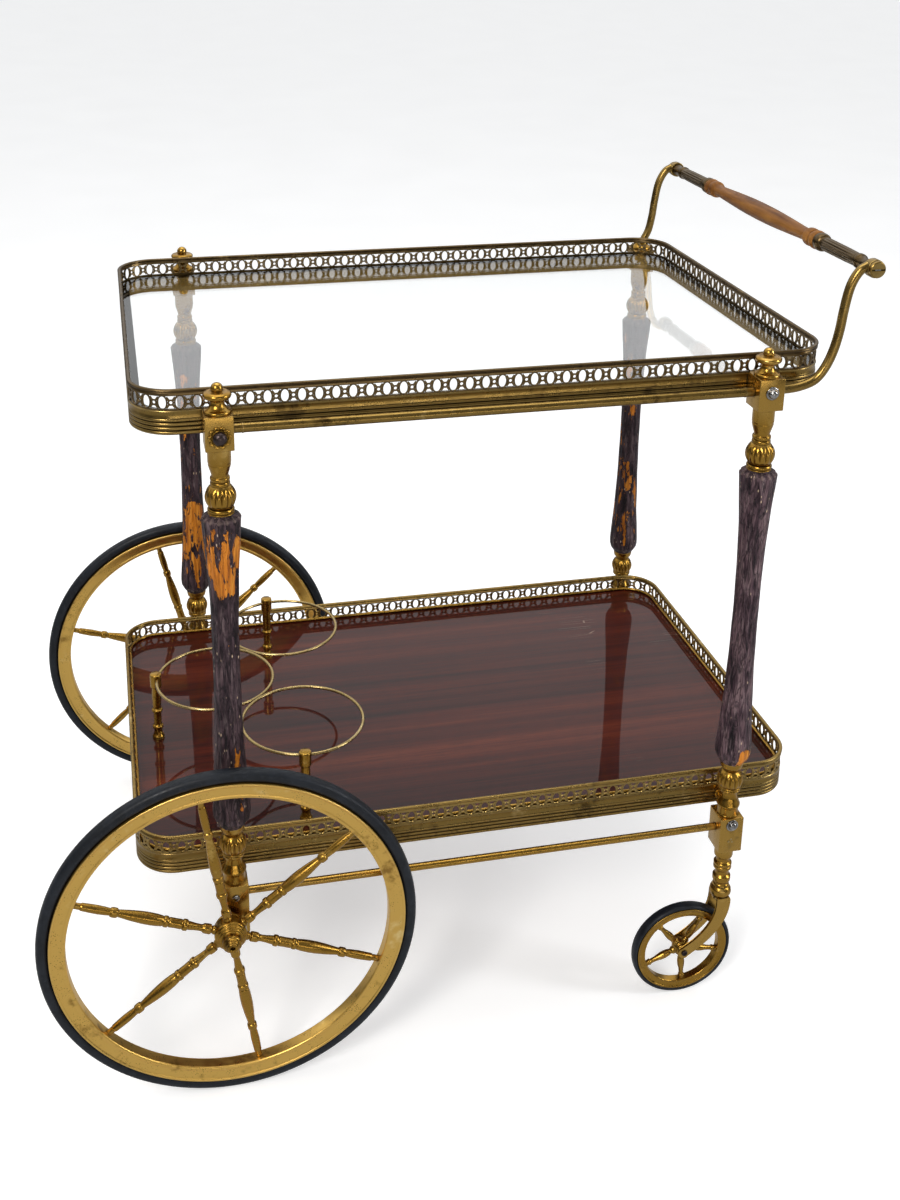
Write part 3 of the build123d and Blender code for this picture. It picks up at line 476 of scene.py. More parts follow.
def mahogany_material():
    """Straight veneer grain along X under a thick mirror-gloss lacquer."""
    m = Mat("lacquered_mahogany")
    bands = m.fibres((0.45, 15.0, 4.0), (0.7, 3.1, 0), 2, 0.5, 0.2)
    ribbon = m.fibres((1.1, 62, 12), (2.0, 0.4, 0), 4, 0.55, 0.2)
    grain = m.fibres((6.0, 300, 60), (0, 0, 0), 6, 0.62, 0.2)
    pores = m.fibres((30, 1500, 200), (0, 0, 0), 3, 0.7)
    tone = m.add(m.mul(bands, 0.45), m.mul(ribbon, 0.33))
    tone = m.add(tone, m.mul(grain, 0.22))
    red = [
        (0.36, (0.012, 0.0020, 0.0014)), (0.46, (0.034, 0.0046, 0.0024)),
        (0.54, (0.066, 0.0090, 0.0036)), (0.68, (0.130, 0.0240, 0.0080)),
    ]
    base = m.ramp(tone, red)
    pore = m.fall(pores, 0.36, 0.48)
    base = m.mix(m.mul(pore, 0.5), base, (0.006, 0.0015, 0.0012))
    x = m.split(m.coord.outputs["Object"])[0]
    handle_end = m.rise(x, 0.20, 0.30)
    where = m.rise(m.noise(11, 2, 0.5, m.place(offset=(4, 4, 0))), 0.62, 0.66)
    lines = m.cells(1.0, m.place((5, 90, 1), (0.31, 0.2, 0)), "DISTANCE_TO_EDGE")
    thin = m.mul(m.fall(lines, 0.0, 0.008), handle_end)
    scratch = m.mul(thin, where)
    base = m.mix(m.mul(scratch, 0.8), base, (0.36, 0.24, 0.17))
    m.set("Base Color", base)
    m.set("Roughness", m.ramp(grain, [(0.35, 0.45), (0.75, 0.6)]))
    m.set("Specular IOR Level", 0.05)
    m.set("Coat Weight", 1.0)
    m.set("Coat Roughness", 0.008)
    m.set("Coat IOR", 1.27)
    return m.mat


def painted_wood(name, seed, bare, patches=(), tone=1.0):
    """Dark plum paint, crazed like bark, chipped to orange wood past the level bare.

    Each patch (x, y, z, wide, tall, how much) is a place in metres where more of it has come off.
    """
    m = Mat(name)
    off = (seed * 1.7, seed * 0.9, seed * 2.3)
    x, y, z = m.split(m.coord.outputs["Object"])
    flake = m.fibres((95, 95, 24), off, 5, 0.62, 0.6)
    chips = m.fibres((330, 330, 120), off, 5, 0.7, 0.3)
    amount = m.add(m.mul(m.sub(flake, 0.5), 1.5), 0.5)
    amount = m.add(amount, m.mul(m.sub(chips, 0.5), 0.45))
    for px, py, pz, wide, tall, much in patches:
        away = ((x, px, wide), (y, py, wide), (z, pz, tall))
        dx, dy, dz = [m.math("DIVIDE", m.sub(here, there), size) for here, there, size in away]
        far = m.add(m.mul(dx, dx), m.mul(dy, dy))
        far = m.add(far, m.mul(dz, dz))
        near = m.ramp(far, [(0.30, 1.0), (0.95, 0.45), (1.0, 0.0)])
        amount = m.add(amount, m.mul(near, much))
    mask = m.rise(amount, bare, bare + 0.02)
    edge = m.ramp(amount, [(bare - 0.07, 0.0), (bare - 0.012, 1.0), (bare + 0.03, 0.0)])
    grain = m.fibres((210, 210, 12), off, 6, 0.65, 0.2)
    oranges = [(0.3, (0.22, 0.055, 0.004)), (0.5, (0.47, 0.150, 0.008)), (0.7, (0.68, 0.28, 0.035))]
    wood = m.ramp(grain, oranges)
    age = m.fibres((130, 130, 26), off, 6, 0.66, 0.8)
    shades = [
        (0.32, (0.005, 0.003, 0.0045)), (0.45, (0.027, 0.0135, 0.019)),
        (0.56, (0.066, 0.038, 0.045)), (0.70, (0.130, 0.083, 0.088)),
    ]
    paint = m.ramp(age, [(at, tuple(c * tone for c in shade)) for at, shade in shades])
    rub = m.fibres((300, 300, 40), off, 6, 0.72)
    bright = m.rise(rub, 0.54, 0.66)
    paint = m.mix(m.mul(bright, 0.6), paint, tuple(c * tone for c in (0.165, 0.118, 0.122)))
    folds = m.math("ABSOLUTE", m.sub(m.fibres((100, 100, 17), off, 3, 0.5, 1.6), 0.5))
    crease = m.ramp(folds, [(0.0, 1.0), (0.022, 0.35), (0.045, 0.0)])
    cracks = m.fall(m.cells(1.0, m.place((190, 190, 30), off), "DISTANCE_TO_EDGE"), 0.0, 0.07)
    gap = m.math("MAXIMUM", crease, m.mul(cracks, 0.6))
    paint = m.mix(m.mul(gap, 0.8), paint, (0.004, 0.003, 0.0045))
    chip = m.fall(m.cells(1.0, m.place((260, 260, 100), off)), 0.10, 0.22)
    few = m.rise(m.noise(40, 2, 0.5, m.place(offset=off)), 0.54, 0.62)
    paint = m.mix(m.mul(m.mul(chip, few), 0.9), paint, (0.58, 0.42, 0.29))
    ridge = ridged(m, 0.47, 0.56)
    paint = m.mix(m.mul(m.rise(ridge, 0.62, 1.0), 0.5), paint, (0.30, 0.21, 0.18))
    # Painted shade: the paint goes towards near black deep in grooves and corners, where the ambient
    # occlusion finds them.
    paint = m.mix(m.mul(m.sub(1.0, open_air(m, 0.004)), 0.7), paint, (0.004, 0.003, 0.004))
    base = m.mix(mask, paint, wood)
    base = m.mix(m.mul(edge, 0.75), base, (0.022, 0.010, 0.012))
    m.set("Base Color", base)
    dry = m.add(m.ramp(rub, [(0.3, 0.38), (0.7, 0.62)]), m.mul(mask, 0.1), clamp=True)
    m.set("Roughness", dry)
    m.set("Specular IOR Level", 0.22)
    h = m.add(m.mul(age, 0.6), m.mul(rub, 0.45))
    h = m.sub(h, m.mul(mask, 0.8))
    h = m.sub(h, m.mul(gap, 0.8))
    m.bump(h, 0.0011, 0.95)
    return m.mat


def grip_material():
    """Dry brown wood with its grain along the handle, darker in the grooves."""
    m = Mat("varnished_grip_wood")
    grain = m.fibres((110, 9, 110), (0, 0, 0), 7, 0.62, 0.5)
    broad = m.fibres((30, 10, 30), (1, 2, 3), 3, 0.5)
    tone = m.add(m.mul(grain, 0.65), m.mul(broad, 0.35))
    browns = [
        (0.34, (0.08, 0.026, 0.006)), (0.48, (0.22, 0.088, 0.018)), (0.62, (0.37, 0.165, 0.038)),
        (0.75, (0.50, 0.26, 0.085))
    ]
    base = m.ramp(tone, browns)
    groove = m.sub(1.0, ridged(m, 0.44, 0.53))
    base = m.mix(m.mul(groove, 0.6), base, (0.06, 0.02, 0.008))
    m.set("Base Color", base)
    m.set("Roughness", m.ramp(m.noise(160, 4), [(0.3, 0.30), (0.7, 0.48)]))
    m.set("Specular IOR Level", 0.12)
    m.bump(grain, 0.0003, 0.4)
    return m.mat


steel = steel_material()
rubber = rubber_material()
glass = glass_material()
mahogany = mahogany_material()
grip_wood = grip_material()


def floor_material():
    """Plain pale floor, a little bright by itself."""
    m = Mat("pale_floor")
    m.set("Base Color", m.ramp(m.noise(3, 4), [(0.3, (0.80, 0.80, 0.80)), (0.7, (0.84, 0.84, 0.84))]))
    m.set("Roughness", m.ramp(m.noise(12, 3), [(0.3, 0.8), (0.7, 0.9)]))
    m.set("Specular IOR Level", 0.1)
    m.set("Emission Color", (1, 1, 1, 1))
    m.set("Emission Strength", 0.38)
    return m.mat


# every CAD node starts with a finished material, pieces below replace many of them
finish_of = {
    "aged_brass": brass_gold,
    "dark_brass": brass_black,
    "plated_steel": steel,
    "steel": steel,
    "glass": glass,
    "mahogany": mahogany,
    "painted_wood": painted_wood("painted_wood_cad", 9, 0.80),
    "grip_wood": grip_wood,
    "rubber": rubber,
}
for sub in frame["record"]["subparts"]:
    data = nodes[sub["node"]].data
    data.materials.clear()
    data.materials.append(finish_of[sub["material_slot"]])


def mid(node):
    """Centre, low and high corners of a node, in mm."""
    lo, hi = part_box(node)
    lo, hi = Vector(lo) * 1000, Vector(hi) * 1000
    return (lo + hi) / 2, lo, hi


legs = {}
for leg in ("near_left", "near_right", "far_left", "far_right"):
    centre = mid("leg_" + leg)[0]
    legs[leg] = (centre.x, centre.y)
_, blocks_min, blocks_max = mid("upper_blocks")
block_y = 2 * (blocks_max.y - legs["far_left"][1])
block_x = 2 * (legs["near_left"][0] - blocks_min.x)
_, handle_blocks_min, handle_blocks_max = mid("lower_blocks_handle_end")
low_lo, low_hi = handle_blocks_min.z, handle_blocks_max.z
axle_block_lo = mid("lower_blocks_wheel_end")[1].z

# ---------------------------------------------------------------- trays
CORNER_R = 42.0
GALLERY_TOP, GALLERY_FOOT, FRAME_FOOT = 5.6, 20.7, 45.0  # depths under the top of the rim
REEDS, REED_TOP = 4, 28.4


def edge_runs(x0, x1, width):
    """The straight runs of a tray's edge: start, end, outward normal, centre of the next corner."""
    w, r = width / 2, CORNER_R
    return [
        ((x0 + r, -w), (x1 - r, -w), (0, -1), (x1 - r, -w + r)),
        ((x1, -w + r), (x1, w - r), (1, 0), (x1 - r, w - r)),
        ((x1 - r, w), (x0 + r, w), (0, 1), (x0 + r, w - r)),
        ((x0, w - r), (x0, -w + r), (-1, 0), (x0 + r, -w + r)),
    ]


def tray_line(x0, x1, width, inset=0, step=30.0, corner=16):
    """Points (x, y) and outward normals along a tray's edge."""
    out = []
    for a, b, n, c in edge_runs(x0, x1, width):
        a, b, n, c = Vector(a), Vector(b), Vector(n), Vector(c)
        count = max(2, int((b - a).length / step))
        out += [(a.lerp(b, i / count) - n * inset, n) for i in range(count)]
        start = math.atan2(n.y, n.x)
        for i in range(corner):
            t = start + math.pi / 2 * i / corner
            m = Vector((math.cos(t), math.sin(t)))
            out.append((c + m * (CORNER_R - inset), m))
    return out


def swept(x0, x1, width, section):
    """A closed section of (inset, z) carried round a tray's edge."""
    line = tray_line(x0, x1, width)
    verts = []
    for p, normal in line:
        for inset, z in section:
            q = p - normal * inset
            verts.append((q.x, q.y, z))
    return verts, rows_in_ring(len(line), len(section))


def run_lengths(x0, x1, width):
    """Lengths of a long side, a short side and a corner of a tray's edge."""
    return x1 - x0 - 2 * CORNER_R, width - 2 * CORNER_R, math.pi / 2 * CORNER_R


def on_edge(tray, s, inset, z):
    """The point at distance s along the edge."""
    a, b, q = run_lengths(*tray)
    s %= 2 * a + 2 * b + 4 * q
    for length, (p, _, n, c) in zip((a, b, a, b), edge_runs(*tray)):
        if s <= length:
            return (p[0] - n[1] * s - n[0] * inset, p[1] + n[0] * s - n[1] * inset, z)
        s -= length
        if s <= q:
            break
        s -= q
    t = math.atan2(n[1], n[0]) + s / CORNER_R
    return (c[0] + math.cos(t) * (CORNER_R - inset), c[1] + math.sin(t) * (CORNER_R - inset), z)


def gallery(name, tray, rim_z, counts, material, node):
    """Pierced gallery: oval rings, small rings and slanting struts, bent round the tray."""
    foot, top = rim_z - GALLERY_FOOT, rim_z - GALLERY_TOP
    centre = (foot + top) / 2
    tall = (top - foot) / 2
    a, b, q = run_lengths(*tray)
    cells = []
    s = 0.0
    for count, length in zip(counts, (a, q, b, q, a, q, b, q)):
        pitch = length / count
        cells += [(s + pitch * (i + 0.25), pitch) for i in range(count)]
        s += length
    deep, thick, soft = 0.8, 1.6, 0.35
    ring_wide, small_ring = 5.15, 3.1
    shape = Shape()

    def lay(points, faces):
        verts = [on_edge(tray, u, deep + d, centre + v) for u, v, d in points]
        shape.add(verts, faces)

    def ring(u0, rx, ry, wall, around):
        section = [(0, soft), (soft, 0), (wall - soft, 0), (wall, soft)]
        section += [(w, thick - d) for w, d in reversed(section)]
        pts = []
        for k in range(around):
            t = TAU * k / around
            pts += [(u0 + (rx - w) * math.cos(t), (ry - w) * math.sin(t), d) for w, d in section]
        lay(pts, rows_in_ring(around, len(section)))

    def strut(u0, v0, u1, v1, w):
        d = Vector((u1 - u0, v1 - v0)).normalized()
        n = Vector((-d.y, d.x)) * (w / 2)
        pts = []
        for u, v in ((u0, v0), (u1, v1)):
            for k, depth in ((1, 0.15), (-1, 0.15), (-1, thick - 0.15), (1, thick - 0.15)):
                pts.append((u + n.x * k, v + n.y * k, depth))
        lay(pts, [(0, 1, 2, 3), (4, 5, 6, 7), (0, 1, 5, 4), (1, 2, 6, 5), (2, 3, 7, 6), (3, 0, 4, 7)])

    for u, pitch in cells:
        ring(u, ring_wide, tall, 1.5, 28)
        h = u + pitch / 2
        gap = pitch / 2 - ring_wide
        ring(h, min(small_ring, gap + 0.3), small_ring, 1.6, 16)
        for sx in (1, -1):
            for sy in (1, -1):
                strut(h + sx * 1.5, sy * 1.7, h + sx * (pitch / 2 - 4.0), sy * 5.2, 2.0)
    # thin solid lines at the foot and under the rim
    for lo, hi in ((foot, foot + 1.1), (top - 1.1, top)):
        section = [(deep, lo), (deep, hi), (deep + thick, hi), (deep + thick, lo)]
        shape.add(*swept(*tray, section))
    shape.done(name, material, node, 30)


def tray_dims(node):
    """Left end, right end and width of a tray, in mm."""
    _, lo, hi = mid(node)
    return (lo.x, hi.x, hi.y - lo.y)


top_tray = tray_dims("top_frame")
low_tray = tray_dims("lower_frame")
top_rim = mid("top_gallery_rim")[2].z
low_rim = mid("lower_gallery_rim")[2].z


def frame_section(rim_z, deck):
    """Strip with a top bead, reeds below it, and the ledge inside."""
    reed = 16.6 / REEDS
    pts = [(3.0, -GALLERY_FOOT), (1.0, -GALLERY_FOOT), (0.4, -21.0), (0.1, -21.6), (0.5, -22.5), (0.7, -23.2)]
    pts += [(0.7, -26.6), (0.4, -27.6), (0.3, -REED_TOP)]
    for i in range(REEDS):
        t0 = -REED_TOP - reed * i
        pts.append((2.6, t0 - 0.1))
        for k in range(9):
            a = math.pi * k / 8
            pts.append((1.6 - 1.6 * math.sin(a), t0 - reed / 2 + (reed / 2 - 0.25) * math.cos(a)))
        pts.append((2.6, t0 - reed + 0.1))
    pts += [(1.6, -FRAME_FOOT), (3.0, -FRAME_FOOT)]
    foot = -(21.0 + deck)
    pts += [
        (3.0, foot - 2.0), (11.5, foot - 2.0), (12.0, foot - 1.6), (12.0, foot - 0.3), (11.6, foot),
        (3.0, foot)
    ]
    return [(i, rim_z + z) for i, z in pts]


def rim_section(rim_z):
    """Rolled top edge over a flat band."""
    pts = [(-0.1, -5.9), (-0.1, -3.4), (0.2, -3.0), (0.0, -2.6)]
    for k in range(9):
        a = math.pi * (1.0 - k / 8)
        pts.append((1.6 + 2.15 * math.cos(a), -1.7 + 1.65 * math.sin(a)))
    pts += [(3.2, -2.6), (3.0, -3.0), (3.3, -3.4), (3.3, -5.9)]
    return [(i, rim_z + z) for i, z in pts]


# The top tray's rolled rim and pierced gallery take brass_dark, a darker copy of the same brass as the lower
# tray's: painted shade.
for tray, rim_z, deck, prefix, frame_finish, rim_finish in (
    (top_tray, top_rim, 5.0, "top", brass_brown, brass_dark),
    (low_tray, low_rim, 8.0, "lower", brass_brown, brass_brown),
):
    Shape().add(*swept(*tray, frame_section(rim_z, deck))).done(
        prefix + "_reeded_frame", frame_finish, prefix + "_frame", 40
    )
    Shape().add(*swept(*tray, rim_section(rim_z))).done(
        prefix + "_rolled_rim", rim_finish, prefix + "_gallery_rim", 40
    )

# brass_dark on the top gallery is painted shade.
gallery("top_pierced_gallery", top_tray, top_rim, (38, 4, 24, 4, 38, 4, 24, 4), brass_dark, "top_gallery")
gallery(
    "lower_pierced_gallery", low_tray, low_rim, (40, 4, 23, 4, 40, 4, 23, 4), brass_brown, "lower_gallery"
)


def slab(tray, z0, z1, edge, inset=3.4):
    """A deck with rounded corners and a small polished edge."""
    line = tray_line(*tray, inset)
    rows = [(edge, z0), (0, z0 + edge), (0, z1 - edge), (edge, z1)]
    verts = []
    n = len(line)
    for more, z in rows:
        for p, normal in line:
            q = p - normal * more
            verts.append((q.x, q.y, z))
    faces = rows_joined(len(rows), n)
    faces.append(tuple(range(n)))
    faces.append(tuple(range(len(verts) - n, len(verts))))
    return verts, faces


glass_lo, glass_hi = mid("glass_panel")[1].z, mid("glass_panel")[2].z
Shape().add(*slab(top_tray, glass_lo, glass_hi, 0.9)).done(
    "glass_top", glass, "glass_panel", 25, slot="glass"
)
panel_lo, panel_hi = mid("lower_panel")[1].z, mid("lower_panel")[2].z
Shape().add(*slab(low_tray, panel_lo, panel_hi, 0.6)).done(
    "mahogany_shelf", mahogany, "lower_panel", 25, slot="mahogany"
)
bead = circle_section(5.6, panel_hi + 1.9, 1.8, 16)
Shape().add(*swept(*low_tray, bead)).done("shelf_bead", brass_gold, "lower_inner_bead", 40)

# ---------------------------------------------------------------- legs
wood_outline = [
    (12.6, 0.0), (13.0, 1.2), (15.4, 4.4), (17.8, 8.6), (18.6, 13.0), (18.7, 21.0), (17.6, 36.0),
    (15.8, 68.0),
    (14.0, 108.0), (13.1, 156.0), (12.9, 208.0), (13.6, 246.0), (15.0, 282.0), (16.6, 306.0), (17.8, 322.0),
    (18.4, 332.0), (18.8, 337.4), (18.4, 338.8), (13.4, 342.6), (12.8, 343.0),
]
SIDES = 14


def carved(seed):
    """Flats with soft hollows and uneven, whittled ridges."""
    rnd = random.Random(seed)
    for _ in range(SIDES):
        rnd.random()  # skipped draws, which keep the waves as they are
    waves = [(rnd.uniform(0.02, 0.07), rnd.uniform(0, TAU), rnd.randint(1, SIDES)) for _ in range(10)]

    def shape(r, z, a):
        step = TAU / SIDES
        k = int(a / step)
        t = (a - (k + 0.5) * step) / step
        flat = math.cos(math.pi / SIDES) / math.cos(t * step)
        dish = 1 - 0.018 * math.cos(math.pi * t) ** 2
        wobble = sum(0.0035 * math.sin(z * w * 2 + p + m * a) for w, p, m in waves)
        return r * flat * dish * (1.012 + wobble)

    return shape


NX, NY = legs["near_left"][0] * MM, legs["near_left"][1] * MM
RX = legs["near_right"][0] * MM
QX = legs["far_right"][0] * MM
FY = legs["far_left"][1] * MM
paint_of = {
    "near_left": painted_wood("paint_near_left", 1, 0.76, (
        (NX - 0.003, NY - 0.016, 0.592, 0.025, 0.040, 0.34),
        (NX + 0.018, NY - 0.004, 0.606, 0.014, 0.026, 0.20),
        (NX + 0.006, NY - 0.013, 0.350, 0.006, 0.050, 0.20)), 0.85),
    "near_right": painted_wood("paint_near_right", 2, 0.90, (
        (RX + 0.008, NY - 0.016, 0.305, 0.012, 0.017, 0.55),), 1.35),
    "far_left": painted_wood("paint_far_left", 3, 0.72, (
        (NX, FY - 0.016, 0.374, 0.028, 0.058, 0.30), (NX, FY - 0.012, 0.500, 0.026, 0.110, 0.11)), 0.9),
    "far_right": painted_wood("paint_far_right", 4, 0.76, (
        (QX - 0.006, FY - 0.014, 0.375, 0.024, 0.065, 0.22),
        (QX - 0.012, FY - 0.010, 0.520, 0.016, 0.110, 0.16)), 0.85),
}
outline = smooth_curve(wood_outline[:-3], 6) + wood_outline[-3:]
for seed, (leg, (x, y)) in enumerate(legs.items()):
    place = moved(x, y, mid("leg_" + leg)[1].z)
    Shape().turn(outline, SIDES * 8, place, carved(seed + 3)).done(
        "wood_" + leg, paint_of[leg], "leg_" + leg, 50, slot="painted_wood"
    )

# ---------------------------------------------------------------- leg turnings
LOBES = 14
BOSS_Z = 238.0


def gadroon(lo, hi):
    """Lobes on the ball between two heights, plain elsewhere."""

    def shape(r, z, a):
        if lo < z < hi:
            t = math.sin(math.pi * (z - lo) / (hi - lo))
            lobe = abs(math.cos(a * LOBES / 2))
            return r * (1 - 0.11 * t * (1 - lobe) ** 1.3)
        return r

    return shape


def ball(z, r, lo, hi, steps=22):
    """Profile of a ball between two heights."""
    out = []
    for k in range(steps + 1):
        q = hi + (lo - hi) * k / steps
        out.append((math.sqrt(max(r * r - (q - z) ** 2, 0.01)), q))
    return out


upper_ferrule = rounded([
    (11, 705.8), (11, 691), (10.6, 689.6), (10.8, 688.4), (10.2, 686), (8.2, 679.4), (7.8, 676.4),
    (9.2, 675.8), (9.4, 674.2), (9.2, 672.6), (8, 671.9), (9.2, 671.2), (9.5, 669.2), (9.2, 667.6),
    (8, 666.9),
], 0.6)
upper_ferrule += ball(656.0, 14.8, 645.4, 667.6)
upper_ferrule += rounded([
    (9.8, 645.6), (12.2, 645.2), (12.9, 643.6), (12.6, 641.8), (11.6, 641.2), (12.6, 640.6), (12.6, 640),
], 0.5)
lower_ferrule = rounded([(12.2, 297), (12.4, 294.6), (11.6, 290.6), (9.6, 288.2), (9.2, 287)], 0.7)
lower_ferrule += ball(274.4, 13.9, 264.0, 285.4)
lower_ferrule += rounded([
    (9.6, 266.2), (11.4, 265.8), (11.9, 264.8), (11.4, 263.8), (10.6, 263.4), (11.6, 263), (11.8, 261.8),
    (11, 260.6), (8.8, 259.8), (8.2, 258.4), (8.2, 255.8), (9, 252), (10.6, 248.2), (12.1, 245.2),
    (12.7, 243.6), (12.5, 242), (11.5, 240.6), (11.3, 236), (11.4, 232.6), (12, 231.8), (12, 231),
], 0.6)

uppers, lowers, blocks_up, blocks_wheel, blocks_handle = Shape(), Shape(), Shape(), Shape(), Shape()
caps = Shape()
finial = rounded([
    (13.1, 739.1), (13.2, 741), (12.6, 742), (10.4, 742.9), (8.4, 744.6), (7, 746.8), (6.4, 749.4),
    (6.8, 751.2), (9.4, 752.6), (12.4, 754), (13.2, 755.8), (13.2, 757.2), (12.2, 758.6), (9.6, 759.6),
    (8, 759.4), (6.2, 759.8), (5.2, 760.2),
], 0.6, 3)
finial += ball(762.2, 5.8, 767.9, 760.0, 10)[::-1]
for leg, (x, y) in legs.items():
    place = moved(x, y)
    side = 1 if y > 0 else -1
    uppers.turn(upper_ferrule, LOBES * 8, place, gadroon(646.5, 667.5))
    lowers.turn(lower_ferrule, LOBES * 8, place, gadroon(264.5, 284.6))
    reach = abs(y) - low_tray[2] / 2
    lowers.turn(
        [(5.4, 0.2), (5.4, 2.4), (4.4, 3.0), (4.4, reach - 4)], 28,
        to_y(x, side * low_tray[2] / 2, BOSS_Z, side)
    )
    blocks_up.add(
        *soft_box(block_x, block_y, blocks_max.z - blocks_min.z, 0.7, 3),
        moved(x, y, (blocks_max.z + blocks_min.z) / 2)
    )
    foot = axle_block_lo if "left" in leg else low_lo
    target = blocks_wheel if "left" in leg else blocks_handle
    target.add(*soft_box(block_x, block_y, low_hi - foot, 0.7, 3), moved(x, y, (low_hi + foot) / 2))
    if leg != "far_right":
        caps.turn(finial, 48, place)
uppers.done("upper_turnings", brass_gold, "upper_ferrules")
lowers.done("lower_turnings", brass_gold, "lower_ferrules")
blocks_up.done("upper_leg_blocks", brass_gold, "upper_blocks", 50)
blocks_wheel.done("wheel_end_blocks", brass_gold, "lower_blocks_wheel_end", 50)
blocks_handle.done("handle_end_blocks", brass_gold, "lower_blocks_handle_end", 50)
caps.done("leg_finials", brass_gold, "finials")
socket = rounded([
    (12.6, 739.1), (12.8, 741), (11.8, 742.6), (9, 744.4), (7.6, 747), (7.4, 751), (6.4, 752), (4.9, 752.2),
], 0.7)
x, y = legs["far_right"]
Shape().turn(socket, 48, moved(x, y)).done("far_arm_cup", brass_gold, "far_arm_socket")

# ---------------------------------------------------------------- nuts and screws
dome = rounded([(6.8, 0), (6.8, 1.2), (6, 1.7), (5, 1.7), (5, 2.4)], 0.35)
dome += [(4.7, 3.6), (4, 4.9), (2.8, 5.9), (1.4, 6.4), (0, 6.55)]
small_dome = rounded([(6.8, 0), (6.8, 0.8), (6, 1.2), (5, 1.1), (5, 1.8)], 0.3)
small_dome += [(4.6, 3), (3.6, 4.1), (2, 4.7), (0, 4.9)]
flat_head = [(3.7, 0), (3.6, 1), (2.4, 1.7), (0, 1.95)]
black_dome = [(6.6, 1.4), (6.7, 3), (6.2, 5), (5, 6.7), (3, 7.9), (0, 8.3)]
SCREW_Z_WHEEL_END, SCREW_Z_HANDLE_END = 217.5, 223.0
nut_height = {"near_left": 719.5, "near_right": 725.0, "far_left": 722.0, "far_right": 722.0}
nuts, small = Shape(), Shape()
for leg, (x, y) in legs.items():
    side = 1 if y > 0 else -1
    face = y + side * block_y / 2
    if leg != "near_left":
        nuts.turn(dome, 32, to_y(x, face, nut_height[leg], side))
    head, z = (small_dome, SCREW_Z_HANDLE_END) if "right" in leg else (flat_head, SCREW_Z_WHEEL_END)
    small.turn(head, 28, to_y(x, face, z, side))
nuts.done("dome_nuts", steel, "upper_block_nuts", 40, slot="plated_steel")
small.done("small_dome_screws", steel, "lower_block_screws", 40, slot="plated_steel")


def petals(r, z, a):
    """Scallops the rosette's edge into petals."""
    return r * (1 - 0.20 * (1 - abs(math.cos(a * 5))) ** 1.3) if r > 8 else r


x, y = legs["near_right"]
MARK_Z = 202.6
mark = [(1.3, 0), (1.2, 0.35), (0.7, 0.6), (0, 0.7)]
dots = Shape()
for dx, dz in ((-2.6, 0.0), (1.4, -0.6), (0.2, 2.6)):
    dots.turn(mark, 20, to_y(x + dx, y - block_y / 2, MARK_Z + dz, -1))
dots.done("punch_marks", brass_pale, None, 40)

x, y = legs["near_left"]
at = to_y(x, y - block_y / 2, nut_height["near_left"], -1)
rosette = rounded([(11.2, 0), (11.2, 0.8), (10.4, 1.7), (8.2, 1.2), (7.4, 0.7), (6.8, 1.2)], 0.3)
Shape().turn(rosette, 120, at, petals).done("rosette_washer", brass_gold, None, 40)
Shape().turn([(6.6, 1.0)] + black_dome, 40, at).done(
    "black_dome_nut", brass_black, "rosette_nut", 40, slot="dark_brass"
)

# ---------------------------------------------------------------- rails
RAIL_R, LOWER_BAR_R = 4.75, 4.0


def bar(node, radius, material, name, collar=True):
    """A straight side bar, with a slim collar near each end if it has collars."""
    centre, lo, hi = mid(node)
    r = radius
    length = hi.x - lo.x
    start = [(r - 0.3, 0.0), (r, 0.3)]
    if collar:
        start += [(r, 8.0), (r + 0.35, 8.3), (r + 0.35, 9.6), (r, 9.9)]
    start.append((r, length / 3))
    profile = start + [(q, length - z) for q, z in reversed(start)]
    place = moved(lo.x, centre.y, centre.z) @ rotated(90, "Y")
    Shape().turn(profile, 36, place).done(name, material, node)


bar("near_rail", RAIL_R, brass_brown, "near_side_rail")
bar("far_rail", RAIL_R, brass_brown, "far_side_rail")
bar("near_stretcher", LOWER_BAR_R, brass_gold, "near_lower_bar", False)
bar("far_stretcher", LOWER_BAR_R, brass_gold, "far_lower_bar", False)

# ---------------------------------------------------------------- handle
rod = mid("handle_rod")[0]
hx, hz = rod.x, rod.z
arm_top = [
    (382.6, 764), (386.2, 782), (388.2, 800), (391.4, 820.4), (395.4, 832.4), (401.6, 841.8),
    (409.4, 846.4),
]
eye = rounded([(7.4, -4.8), (9.3, -4.8), (9.3, 4.8), (7.4, 4.8)], 0.9)
near_x = legs["near_right"][0] + block_x / 2
near_bend = [(near_x, 723), (338, 723.4), (349.2, 725), (361.8, 729.2), (370, 736.4), (377.2, 748.6)]
far_bend = [(373.6, 741), (374.4, 746.6), (377.6, 753)]
for bend, y, name, node in (
    (near_bend, legs["near_left"][1], "near_bent_arm", "near_arm"),
    (far_bend, legs["far_left"][1], "far_bent_arm", "far_arm"),
):
    pts = smooth_curve([(x, y, z) for x, z in bend + arm_top], 8)
    arm = Shape().add(*tube(pts, RAIL_R, 24))
    side = 1 if y > 0 else -1
    arm.turn(eye, 40, to_y(hx, y, hz, side))
    arm.done(name, brass_brown, node)

grip = [
    (7.6, -141.0), (9.0, -140.4), (10.1, -138.0), (10.2, -135.6), (9.4, -132.4), (8.1, -130.4),
    (8.1, -129.6), (9.4, -128.4),
    (9.9, -125.0), (9.9, -121.6), (9.2, -118.8), (7.6, -116.6), (6.9, -113.6), (6.9, -109.0),
    (7.5, -94.0), (8.7, -66.0), (9.8, -34.0), (10.2, 0.0),
]
Shape().turn(smooth_curve(both_ways(grip), 4), 56, to_y(hx, 0, hz, 1)).done(
    "turned_grip", grip_wood, "handle_grip", slot="grip_wood"
)

